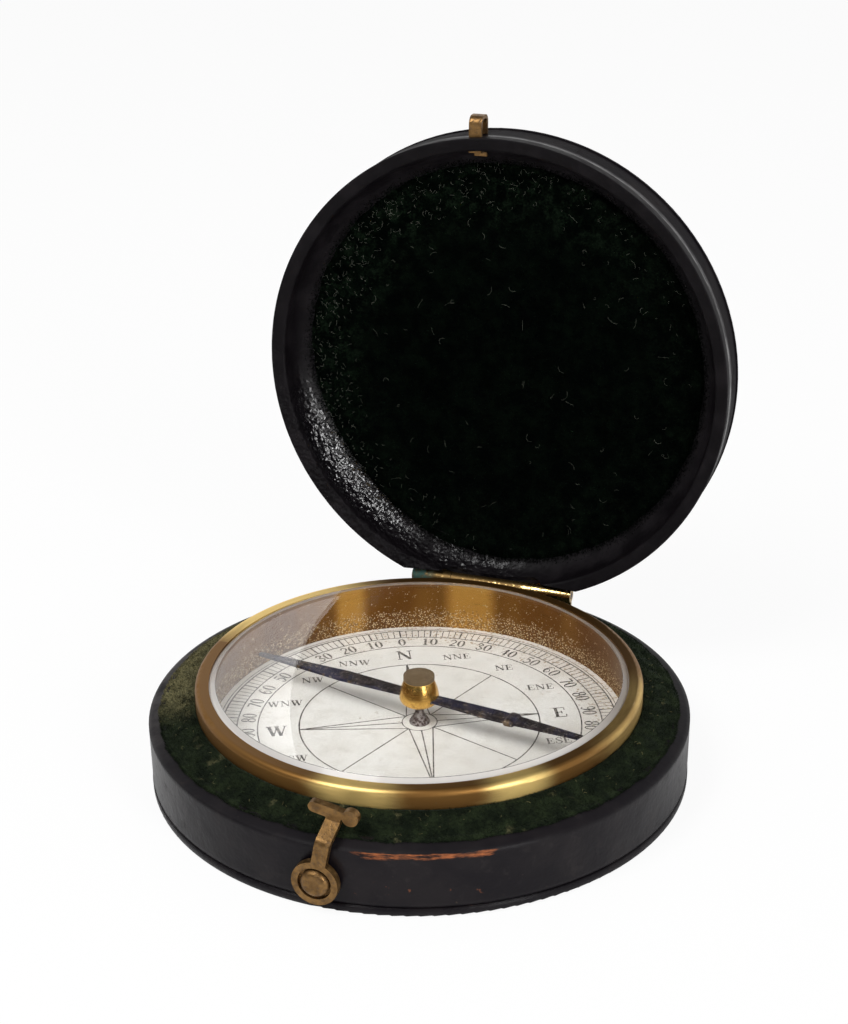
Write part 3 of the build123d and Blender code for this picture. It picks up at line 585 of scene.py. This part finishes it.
def goatskin(name, wear, gloss, round_edge):
    """Black grained leather. Wear gives four masks: where the red-brown underside shows, where grey sheen is
    painted on, where the gloss has gone, and where handling has polished it."""
    material, place = start_finish(name)
    rubbed, painted_sheen, dull, polished = wear(place)
    cell_inputs = {"Vector": place, "Scale": 2.3, "Smoothness": 0.6}
    cells = place.node("ShaderNodeTexVoronoi", {"feature": "SMOOTH_F1"}, cell_inputs, "Distance")
    grain = cells * 0.5 + noise(place, 5.0, 3.0, 0.6) * 0.25 + noise(place, 0.45, 3.0, 0.5) * 4.0
    scuff = fade(noise(place, 0.55, 5.0, 0.68), 0.54, 0.72)
    flecks = fade(noise(place, 1.4, 4.0, 0.7), 0.68, 0.74)
    colour = tint(fade(noise(place, 0.2, 3.0), 0.4, 0.68), (0.0042, 0.003, 0.0046), (0.0085, 0.0066, 0.0078))
    colour = tint(scuff * 0.45, colour, (0.022, 0.018, 0.018))
    colour = tint(flecks * 0.3, colour, (0.11, 0.08, 0.055))
    colour = tint(painted_sheen, colour, (0.24, 0.22, 0.215))
    colour = tint(rubbed, colour, tint(noise(place, 1.6, 3.0), (0.15, 0.04, 0.014), (0.46, 0.15, 0.05)))
    sockets = {
        "Base Color": colour,
        "Roughness": 0.3 + scuff * 0.2 + rubbed * 0.25 + dull * 0.35,
        "Specular IOR Level": gloss,
        "Coat Weight": polished,
        "Coat Roughness": 0.22,
    }
    return end_finish(material, place, sockets, grain - rubbed * 0.8, 0.02, round_edge)


def base_wear(place):
    """Worn through along the front edge between two bearings, and at a few spots below it. A little grey sheen
    painted on at the left, and dull on the sloping shoulder."""
    turned = polar(place)
    along = near(turn_degrees(turned), rub_turn, rub_half_turn - 4.0, 5.0)
    height = axis(place, "Z")
    band = fade(height, rub_low - 0.2, rub_low + 0.35) * fade(height, rub_high + 0.1, rub_high - 0.15)
    ragged = noise(stretch(turned, 1.0, 0.7, 1.8), 1.3, 5.0, 0.7)
    low_spots = fade(noise(place, 1.1, 3.0, 0.6), 0.66, 0.72) * fade(height, 4.2, 3.0) * along * 0.3
    rubbed = fade(ragged + along * band * 0.34, 0.72, 0.95) * along * band + low_spots
    # Painted sheen: grey towards the left of the case.
    painted_sheen = fade(axis(place, "X"), -17.0, -29.0) * fade(noise(place, 0.3, 4.0, 0.6), 0.35, 0.7) * 0.17
    return rubbed, painted_sheen, fade(height, 7.2, 7.5), 0.0


lid_rim_y = 24.9


def lid_wear(place):
    """Small spots worn through, and polished in a streaky line close behind the rim, where a grey streak is a
    painted highlight.
    """
    rubbed = fade(noise(place, 0.7, 4.0, 0.65), 0.74, 0.8) * 0.35
    behind = axis(place, "Y") - lid_rim_y
    streaks = fade(noise(stretch(place, 0.5, 3.2, 0.5), 1.0, 4.0, 0.65), 0.4, 0.62)
    line = fade(behind, 1.2, 1.5) * fade(behind, 2.9, 1.6)
    # The second mask is a painted highlight: grey along the streaky line behind the rim.
    return rubbed, streaks * line * 0.22, fade(behind, 1.5, 3.0) * 0.7, line * (0.4 + streaks * 0.6)


dress(goatskin("base_goatskin", base_wear, 0.15, 0.8), "base_leather_band", "base_leather_bottom")
dress(goatskin("lid_goatskin", lid_wear, 0.03, 0.5), "lid_leather_band", "lid_leather_top")


# Velvet collar: dark green cotton velvet pasted on the sloping shoulder, from the bezel out over the leather's
# edge, and cut away for the hinge. The nap is rubbed, and faded to olive on the left.
shoulder_level = 7.3
shoulder_slope = np.tan(np.radians(21.3))
collar_inner, collar_outer, leather_edge, cloth_sink, cloth_depth = 23.97, 27.75, 27.3, 0.22, 0.45
hinge_gap_y, hinge_shelf_y, hinge_shelf_z, hinge_half = 25.40, 24.45, 8.55, 10.6
spread_tufts, edge_tufts = 34000, 8000
draw = np.random.default_rng(7)


def soft_step(gap):
    """0 well below zero and 1 well above it: a logistic curve 0.05 mm wide."""
    return (1 + np.tanh(gap / 0.1)) / 2


def collar_height(x, y):
    """Height of the collar's cloth: the shoulder's cone, a little below it inside the leather's edge and just
    above it beyond, and lowered to a shelf in front of the hinge."""
    radius = np.hypot(x, y)
    beyond = np.clip((radius - leather_edge + 0.4) / 0.4, 0.0, 1.0)
    cone = shoulder_level + (case_radius - radius) * shoulder_slope - cloth_sink + (cloth_sink + 0.03) * beyond
    behind = soft_step(y - hinge_shelf_y) * soft_step(hinge_half - np.abs(x))
    return cone + np.minimum(hinge_shelf_z - cloth_sink - cone, 0.0) * behind


def collar_points(turn, across):
    """A place on the cloth: across runs from the bezel to its wavy outer edge, or to the hinge leaf behind."""
    waves = 0.05 * np.sin(turn * 23 + 1.3) + 0.04 * np.sin(turn * 41) + 0.03 * np.sin(turn * 67 + 2.0)
    outer = np.minimum(collar_outer + waves, hinge_gap_y / np.maximum(np.sin(turn), 0.1))
    radius = collar_inner + across * (outer - collar_inner)
    x, y = radius * np.cos(turn), radius * np.sin(turn)
    return np.stack([x, y, collar_height(x, y)], -1)


def soft_lumps(points, size):
    """A slow seeded swell from -1 to 1: waves in several directions added up."""
    ways = draw.normal(size=(9, 3))
    ways /= np.linalg.norm(ways, axis=1, keepdims=True)
    return np.sin(points @ ways.T * 2 * np.pi / size + draw.uniform(0, 2 * np.pi, 9)).sum(-1) / 4.5


def nap_mesh(name, roots, outward, length, width, lean):
    """Short tufts, each one thin triangle: two feet beside its root, and a tip along the pile that leans
    at random."""
    count = len(roots)
    side = np.cross(outward, draw.normal(size=(count, 3)))
    side /= np.linalg.norm(side, axis=1, keepdims=True)
    tips = outward + draw.normal(scale=lean, size=(count, 3))
    tips *= (length * draw.uniform(0.5, 1.0, count) / np.linalg.norm(tips, axis=1))[:, None]
    corners = np.stack([roots - side * width / 2, roots + side * width / 2, roots + tips], 1)
    mesh = bpy.data.meshes.new(name)
    mesh.from_pydata((corners.reshape(-1, 3) * 0.001).tolist(), [], np.arange(count * 3).reshape(-1, 3).tolist())
    return mesh


def velvet(name, dark, light, faded, faded_mask, gloss):
    """Green pile: dark where it stands, lighter where it lies over, faded where the mask says."""
    material, place = start_finish(name)
    pile = noise(place, 4.5, 4.0, 0.7)
    brushed = noise(place, 0.6, 4.0, 0.62)
    colour = tint(fade(brushed + (pile - 0.5) * 0.5, 0.36, 0.72), dark, light)
    colour = tint(faded_mask(place) * fade(pile + brushed * 0.4, 0.5, 0.85), colour, faded)
    sockets = {
        "Base Color": colour,
        "Roughness": 0.9,
        "Specular IOR Level": gloss,
        "Sheen Weight": gloss,
        "Sheen Roughness": 0.45,
        "Sheen Tint": (0.6, 0.75, 0.55, 1.0),
    }
    return end_finish(material, place, sockets, pile, 0.08)


def faded_left(place):
    """The left of the collar, with lighter rubs here and there all round."""
    ahead = axis(place, "Y")
    left = fade(axis(place, "X"), -19.0, -25.0) * fade(ahead, -15.0, -7.0) * fade(ahead, 16.0, 8.0)
    return left + fade(noise(place, 0.5, 3.0), 0.62, 0.74) * fade(axis(place, "X"), 24.0, 16.0) * 0.4


collar_greens = (0.0042, 0.0068, 0.0035), (0.015, 0.022, 0.0095), (0.2, 0.18, 0.09)
collar_velvet = velvet("collar_velvet", *collar_greens, faded_left, 0.06)
turn, across = np.meshgrid(np.linspace(2 * np.pi, 0, 721), np.linspace(0.0, 1.0, 18), indexing="ij")
cloth = collar_points(turn, across)
cloth[..., 2] += 0.05 * soft_lumps(cloth, 2.6)
cloth[-1] = cloth[0]
hem = np.array([0.0, 0.0, cloth_depth])
collar_grid = np.concatenate([cloth[:, :1] - hem, cloth, cloth[:, -1:] - hem], 1)
collar_mesh = grid_mesh("velvet_collar", [collar_grid])
collar = new_piece("velvet_collar", collar_mesh, collar_velvet, "base")
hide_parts("base_velvet_collar")
tuft_turn = draw.uniform(0, 2 * np.pi, spread_tufts + edge_tufts)
spread_across = draw.uniform(0.01, 1.0, spread_tufts)
edge_across = 1.02 - np.abs(draw.normal(scale=0.035, size=edge_tufts))
tuft_across = np.concatenate([spread_across, edge_across])
tuft_roots = collar_points(tuft_turn, tuft_across)
tuft_out = shoulder_slope + np.where(tuft_across > 0.94, 0.9, 0.0)
shoulder_up = np.stack([np.cos(tuft_turn) * tuft_out, np.sin(tuft_turn) * tuft_out, np.ones(len(tuft_turn))], 1)
shoulder_up /= np.linalg.norm(shoulder_up, axis=1, keepdims=True)
collar_tufts = nap_mesh("collar_nap", tuft_roots, shoulder_up, 0.31, 0.07, 0.35)
new_piece("collar_nap", collar_tufts, collar_velvet, "base")


# Lining of the lid: a disc of the same velvet, nearly black, pasted in the bottom of the dish
# and a little way up the cove round it, where its edge frays.
lid_tilt = np.radians(91.0)
lid_middle = np.array([0.0, 24.899, 35.385])
lid_across = np.array([1.0, 0.0, 0.0])
lid_back = np.array([0.0, np.sin(lid_tilt), np.cos(lid_tilt)])
lid_up = np.cross(lid_across, lid_back)
lining_radius, lining_depth, cove_start, cove_width, cove_rise = 23.3, 4.2, 22.3, 3.0, 3.674
drawn_in, drawn_in_turn, drawn_in_half = 0.95, np.radians(217.0), np.radians(26.0)
disc_tufts, fringe_tufts = 30000, 14000


def lid_points(x, y, depth):
    """A place in the lid's own frame: across it, along it, and its depth behind the rim."""
    return lid_middle + x[..., None] * lid_across + y[..., None] * lid_up + np.asarray(depth)[..., None] * lid_back


def lining_level(radius):
    """Depth of the lining's cloth: a little under the disc's face in the middle, and just on the cove beyond it."""
    rise = np.clip((radius - cove_start) / cove_width, 0.0, 1.0)
    inside = np.clip((cove_start - radius) / 0.7, 0.0, 1.0)
    return lining_depth - cove_rise * (1 - np.sqrt(1 - rise**2)) - 0.03 + (cloth_sink + 0.03) * inside


def lining_edge(turn):
    """Radius of the lining's edge round the lid: drawn in by a bell-shaped dip at the lower left."""
    return lining_radius - drawn_in * np.exp(-(((np.mod(turn, 2 * np.pi) - drawn_in_turn) / drawn_in_half) ** 2))


def greener_edge(place):
    """Lighter green in patches round the edge of the disc, most of all at its upper left."""
    x, up = axis(place, "X"), axis(place, "Z") - lid_middle[2]
    edge = fade((x * x + up * up) ** 0.5, 13.0, 21.0) * (0.3 + 0.7 * fade(up * 0.85 - x * 0.5, -4.0, 14.0))
    return edge * fade(noise(place, 0.8, 5.0, 0.7), 0.44, 0.66)


lining_greens = (0.0006, 0.0009, 0.0008), (0.0014, 0.0026, 0.0016), (0.0062, 0.0105, 0.0062)
lid_velvet = velvet("lining_velvet", *lining_greens, greener_edge, 0.0)
turn, share = np.meshgrid(np.linspace(2 * np.pi, 0, 361), np.linspace(0.0, 1.0, 70), indexing="ij")
fray = 0.05 * np.sin(turn * 19 + 0.4) + 0.04 * np.sin(turn * 37 + 1.0) + 0.03 * np.sin(turn * 59)
radius = (lining_edge(turn) + fray * share**20) * share
lining_grid = lid_points(radius * np.cos(turn), radius * np.sin(turn), lining_level(radius))
swell = 0.05 * soft_lumps(lining_grid, 4.0) * (1 - share**8)
lining_grid -= swell[..., None] * lid_back
lining_grid[-1] = lining_grid[0]
lining = new_piece("velvet_lining", grid_mesh("velvet_lining", [lining_grid]), lid_velvet, "lid")
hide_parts("lid_velvet_lining")
ragged_edge = lining_radius + draw.normal(scale=0.32, size=fringe_tufts)
far = np.concatenate([np.sqrt(draw.uniform(0, 1, disc_tufts)) * lining_radius, ragged_edge])
turn = draw.uniform(0, 2 * np.pi, disc_tufts + fringe_tufts)
far *= lining_edge(turn) / lining_radius
roots = lid_points(far * np.cos(turn), far * np.sin(turn), lining_level(far))
lining_tufts = nap_mesh("lining_nap", roots, np.tile(-lid_back, (len(far), 1)), 0.36, 0.08, 0.5)
new_piece("lining_nap", lining_tufts, lid_velvet, "lid")


# Lint caught in both velvets: fine pale hairs, each a small curled thread that lies in the pile.
# A few long ones lie anywhere, and many short ones gather at the left.
def lint_mesh(name, starts, across, along, outward, length, thread):
    """Curled hairs: each is an arc of random bend in the cloth's plane, swept by a three-sided thread with
    both ends closed."""
    count, steps = len(starts), 7
    heading = draw.uniform(0, 2 * np.pi, count)[:, None]
    bend = draw.normal(scale=2.2, size=count)[:, None]
    t = np.linspace(0.0, 1.0, steps)[None, :]
    reach = (length * draw.uniform(0.35, 1.0, count))[:, None] / (steps - 1)
    way = heading + bend * t
    u, v = np.cumsum(reach * np.cos(way), 1), np.cumsum(reach * np.sin(way), 1)
    lift = 0.1 * np.sin(np.pi * t) * draw.uniform(0.2, 1.0, count)[:, None]
    line = starts[:, None] + u[..., None] * across[:, None] + v[..., None] * along[:, None]
    line = line + lift[..., None] * outward[:, None]
    corner = np.arange(3) * 2 * np.pi / 3
    beside = -np.sin(way)[..., None] * across[:, None] + np.cos(way)[..., None] * along[:, None]
    rim = beside[:, :, None] * np.cos(corner)[:, None] + outward[:, None, None] * np.sin(corner)[:, None]
    tube = (line[:, :, None] + rim * thread).reshape(-1, 3)
    index = np.arange(count * steps * 3).reshape(count, steps, 3)
    after = np.roll(index, -1, 2)
    faces = np.stack([index[:, :-1], after[:, :-1], after[:, 1:], index[:, 1:]], -1).reshape(-1, 4)
    ends = np.concatenate([index[:, 0, ::-1], index[:, -1]])
    mesh = bpy.data.meshes.new(name)
    mesh.from_pydata((tube * 0.001).tolist(), [], faces.tolist() + ends.tolist())
    return mesh


pale_hairs, short_hairs = 90, 460
lint, place = start_finish("pale_lint")
lint_colour = tint(noise(place, 0.8, 2.0), (0.04, 0.05, 0.035), (0.24, 0.24, 0.2))
end_finish(lint, place, {"Base Color": lint_colour, "Roughness": 0.8})
far_long = 21.4 * draw.uniform(0, 1, pale_hairs) ** 0.4
far_short = 23.0 - np.abs(draw.normal(scale=2.2, size=short_hairs))
far = np.concatenate([far_long, far_short])
turn = np.concatenate([draw.uniform(0, 2 * np.pi, pale_hairs), draw.normal(2.5, 0.9, short_hairs)])
far *= lining_edge(turn) / lining_radius
starts = lid_points(far * np.cos(turn), far * np.sin(turn), lining_level(far) - cloth_sink - 0.06)
lid_ways = [np.tile(way, (pale_hairs + short_hairs, 1)) for way in (lid_across, lid_up, -lid_back)]
hair_length = np.concatenate([np.full(pale_hairs, 1.4), np.full(short_hairs, 0.62)])
new_piece("lining_lint", lint_mesh("lining_lint", starts, *lid_ways, hair_length, 0.007), lint, "lid")

straw, place = start_finish("straw_lint")
straw_colour = tint(noise(place, 1.2, 2.0), (0.1, 0.09, 0.035), (0.3, 0.26, 0.11))
end_finish(straw, place, {"Base Color": straw_colour, "Roughness": 0.8})
hair_turn = np.concatenate([draw.uniform(-3.7, 0.9, pale_hairs), draw.normal(np.radians(172.0), 0.24, short_hairs)])
hair_across = np.concatenate([draw.uniform(0.12, 0.8, pale_hairs), draw.uniform(0.25, 0.98, short_hairs)])
starts = collar_points(hair_turn, hair_across)
pile_top = shoulder_level - 0.1 + (case_radius - np.hypot(starts[:, 0], starts[:, 1])) * shoulder_slope
starts[:, 2] = np.maximum(starts[:, 2], pile_top) + 0.03
round_way = np.stack([-np.sin(hair_turn), np.cos(hair_turn), np.zeros(len(hair_turn))], 1)
hair_out = np.stack([np.cos(hair_turn), np.sin(hair_turn)], 1) * shoulder_slope
hair_up = np.concatenate([hair_out, np.ones((len(hair_turn), 1))], 1)
hair_up /= np.linalg.norm(hair_up, axis=1, keepdims=True)
down_way = np.cross(hair_up, round_way)
hair_length = np.concatenate([np.full(pale_hairs, 0.5), np.full(short_hairs, 0.36)])
collar_hairs = lint_mesh("collar_lint", starts, round_way, down_way, hair_up, hair_length, 0.009)
new_piece("collar_lint", collar_hairs, straw, "base")


# Cove inside the lid's rim: thin black skin drawn over the curve while wet, so that it dried in fine wrinkles
# at the lower left, and varnished. It is turned over the rim and pasted down on the outside.
cove, place = start_finish("varnished_skin")
wrinkle_inputs = {"Vector": place, "Scale": 1.5, "Smoothness": 0.3}
wrinkles = place.node("ShaderNodeTexVoronoi", {"feature": "SMOOTH_F1"}, wrinkle_inputs, "Distance")
low_left = axis(place, "X") * -0.6 - (axis(place, "Z") - lid_middle[2]) * 0.8
gathered = fade(low_left, 15.5, 22.5)
creases = (wrinkles + noise(place, 2.3, 2.0, 0.5) * 0.8) * (0.1 + 0.9 * gathered) + noise(place, 0.5, 2.0) * 0.5
dulled = fade(noise(place, 0.35, 3.0), 0.45, 0.7)
bumped = place.node("ShaderNodeBump", {}, {"Height": creases, "Distance": 0.00022})
matt_sockets = {
    "Base Color": tint(dulled, (0.0034, 0.0026, 0.0034), (0.0076, 0.0062, 0.0074)),
    "Roughness": 0.5 + dulled * 0.1,
    "Specular IOR Level": 0.09,
    "Normal": bumped,
}
gloss_sockets = {
    "Base Color": (0.0034, 0.0028, 0.0036, 1.0),
    "Roughness": 0.07,
    "Specular IOR Level": 1.0,
    "Normal": bumped,
}
matt_skin = place.node("ShaderNodeBsdfPrincipled", {}, matt_sockets)
gloss_skin = place.node("ShaderNodeBsdfPrincipled", {}, gloss_sockets)
off_rim = fade(axis(place, "Y"), lid_rim_y + 0.7, lid_rim_y + 1.3)
leftward = fade(axis(place, "X"), -9.0, -17.0)
patches = fade(noise(place, 0.6, 4.0, 0.6) + leftward * 0.16, 0.42, 0.62)
varnish = gathered * off_rim * patches * (0.3 + leftward * 0.7)
skin = place.node("ShaderNodeMixShader", {}, {0: varnish, 1: matt_skin, 2: gloss_skin})
place.node("ShaderNodeOutputMaterial", {}, {"Surface": skin})
dress(cove, "lid_cove_leather")

lid_radius, cove_rim, rim_slope, skin_lift, skin_reach, notch_level = 26.65, 25.3, 0.38988, 0.05, 1.3, 24.5


def cove_face(depth):
    """Radius of the cove's curve at a depth behind the rim: a quarter of an oval."""
    level = lining_depth - cove_rise
    return cove_start + cove_width * np.sqrt(1 - ((depth - level) / cove_rise) ** 2)


inside_depth = np.array([0.62, 0.8, 1.1, 1.5, 1.9, 2.3])
inside_lift = np.array([1.0, 1.0, 0.9, 0.6, 0.1, -0.5]) * skin_lift
slope_radius = np.linspace(lid_radius - 0.12, cove_rim + 0.05, 7)
slope_depth = (lid_radius - slope_radius) * rim_slope - skin_lift / np.cos(np.arctan(rim_slope))
outside_radius = lid_radius + skin_lift * np.array([-0.8, 0.9, 1.1, 1.15, 1.15, 0.9])
outside_depth = np.array([skin_reach + 0.02, skin_reach, skin_reach - 0.06, 0.6, 0.12, -0.02])
skin_radius = np.concatenate([outside_radius, slope_radius, cove_face(inside_depth) - inside_lift])
skin_depth = np.concatenate([outside_depth, slope_depth, inside_depth])
half_notch = np.arccos(np.minimum(notch_level / skin_radius, 1.0))
share = np.linspace(0.0, 1.0, 541)[:, None]
turn = -np.pi / 2 + half_notch + share * (2 * np.pi - 2 * half_notch)
pucker = 0.012 * np.sin(turn * 61) + 0.012 * np.sin(turn * 97 + 1.1) + 0.01 * np.sin(turn * 143 + 0.5)
pucker = pucker * np.sin(np.pi * np.linspace(0.0, 1.0, len(skin_radius)))
skin_grid = lid_points(skin_radius * np.cos(turn), skin_radius * np.sin(turn), skin_depth + pucker * 0.6)
new_piece("rim_skin", grid_mesh("rim_skin", [skin_grid]), cove, "lid")


# Hinge: three knuckles and two leaves of brass strip, held to the wood by brass rivets. It is darker to the left,
# where one knuckle has gone green, and lighter to the right.
hinge_brass, place = start_finish("hinge_brass")
hinge_wear = noise(place, 1.3, 4.0, 0.65)
green = fade(axis(place, "X"), -6.6, -8.2) * fade(hinge_wear, 0.3, 0.55)
hinge_darkening = fade(noise(place, 2.2, 3.0, 0.6) + fade(axis(place, "X"), 5.0, 3.0) * 0.24, 0.5, 0.72)
hinge_colour = tint(hinge_darkening * 0.9, (0.7, 0.49, 0.2), (0.085, 0.048, 0.018))
hinge_colour = tint(green, hinge_colour, (0.03, 0.085, 0.07))
hinge_sockets = {
    "Base Color": hinge_colour,
    "Metallic": 1.0 - green * 0.9,
    "Roughness": 0.22 + hinge_darkening * 0.25 + green * 0.4,
}
dress(
    end_finish(hinge_brass, place, hinge_sockets, hinge_wear, 0.03),
    "hinge_base_leaf",
    "hinge_lid_leaf",
    "hinge_base_rivets",
    "hinge_lid_rivets",
)


# Catch: a brass strip staple on the lid, and on the base a filed brass hook that turns on a domed stud.
# All are dull brown, brighter where fingers have rubbed them.
catch_brass, place = start_finish("catch_brass")
catch_cloud = noise(place, 0.8, 4.0, 0.62)
grime = fade(noise(place, 2.6, 4.0, 0.65), 0.48, 0.66)
catch_colour = tint(fade(catch_cloud, 0.36, 0.66), (0.25, 0.14, 0.05), (0.135, 0.074, 0.027))
catch_colour = tint(grime * 0.4, catch_colour, (0.055, 0.032, 0.016))
catch_sockets = {"Base Color": catch_colour, "Metallic": 0.9 - grime * 0.3, "Roughness": 0.38 + grime * 0.2}
end_finish(catch_brass, place, catch_sockets, catch_cloud + grime * 0.4, 0.025)
dress(catch_brass, "latch_hook", "latch_stud", "lid_staple")


# Studio: a white table that keeps the object's shadow, soft lamps to the right and above on the left,
# and a white backdrop behind. The room in front and overhead is dimmer, which shows in the brass.
floor, place = start_finish("white_table")
seen = place.node("ShaderNodeLightPath", {}, {}, "Is Camera Ray")
shine = place.node("ShaderNodeEmission", {}, {"Color": (1.0, 1.0, 1.0, 1.0), "Strength": 1.0})
matt = place.node("ShaderNodeBsdfDiffuse", {}, {"Color": (0.86, 0.86, 0.86, 1.0)})
table_top = place.node("ShaderNodeMixShader", {}, {0: seen * 0.92, 1: matt, 2: shine})
place.node("ShaderNodeOutputMaterial", {}, {"Surface": table_top})
table_side = np.linspace(-2500.0, 2500.0, 2)
table_x, table_y = np.meshgrid(table_side, table_side, indexing="ij")
table_mesh = grid_mesh("table", [np.stack([table_x, table_y, np.full((2, 2), -0.02)], -1)])
table_mesh.materials.append(floor)
table = bpy.data.objects.new("table", table_mesh)
bpy.context.scene.collection.objects.link(table)

studio = bpy.data.worlds.new("studio")
bpy.context.scene.world = studio
studio.use_nodes = True
studio.node_tree.nodes.clear()
sky = Value(studio.node_tree)
path_names = ("Is Camera Ray", "Is Glossy Ray", "Is Transmission Ray")
by_eye, by_gloss, by_glass = (sky.node("ShaderNodeLightPath", {}, {}, name) for name in path_names)
way = sky.node("ShaderNodeTexCoord", {}, {}, "Generated")
backdrop = fade(axis(way, "Y"), -0.35, 0.25) * fade(axis(way, "Z"), 0.85, 0.55)
shown = by_eye + (by_gloss + by_glass) * (0.14 + backdrop * 0.86)
ambient = 0.46
plain = 1.0 - by_eye - by_gloss - by_glass
light = sky.node("ShaderNodeBackground", {}, {"Color": (1.0, 1.0, 1.0, 1.0), "Strength": shown + plain * ambient})
sky.node("ShaderNodeOutputWorld", {}, {"Surface": light})


def softbox(name, place, aim, size, power):
    """A lamp of this width and height at a place in metres, facing a point."""
    data = bpy.data.lights.new(name, "AREA")
    data.shape = "RECTANGLE"
    data.size, data.size_y = size
    data.energy = power
    lamp = bpy.data.objects.new(name, data)
    bpy.context.scene.collection.objects.link(lamp)
    back = np.array(place, float) - aim
    back /= np.linalg.norm(back)
    right = np.cross((0.0, 0.0, 1.0), back)
    right /= np.linalg.norm(right)
    columns = np.stack([right, np.cross(back, right), back], 1)
    lamp.matrix_world = Matrix.Translation(place) @ Matrix(columns.tolist()).to_4x4()


middle = np.array([0.0, 0.0, 0.02])
softbox("key_lamp", (0.42, -0.31, 0.21), middle, (0.14, 0.36), 1.8)
softbox("top_lamp", (-0.16, -0.28, 0.48), middle, (0.2, 0.28), 1.9)


# Camera: where the photograph was taken from, in front and a little to the right, looking down.
# The lens is shifted, because the object stands low in the picture.
camera_data = bpy.data.cameras.new("camera")
camera_data.lens = 66.03
camera_data.shift_y = 0.13
camera_data.clip_start = 0.01
camera = bpy.data.objects.new("camera", camera_data)
bpy.context.scene.collection.objects.link(camera)
camera_right = np.array([0.94271, 0.33341, -0.01115])
camera_up = np.array([-0.14592, 0.44217, 0.88498])
camera_axes = np.stack([camera_right, camera_up, np.cross(camera_right, camera_up)], 1)
camera.matrix_world = Matrix.Translation((0.060394, -0.165909, 0.107207)) @ Matrix(camera_axes.tolist()).to_4x4()
bpy.context.scene.camera = camera
bpy.context.scene.view_settings.view_transform = "Standard"
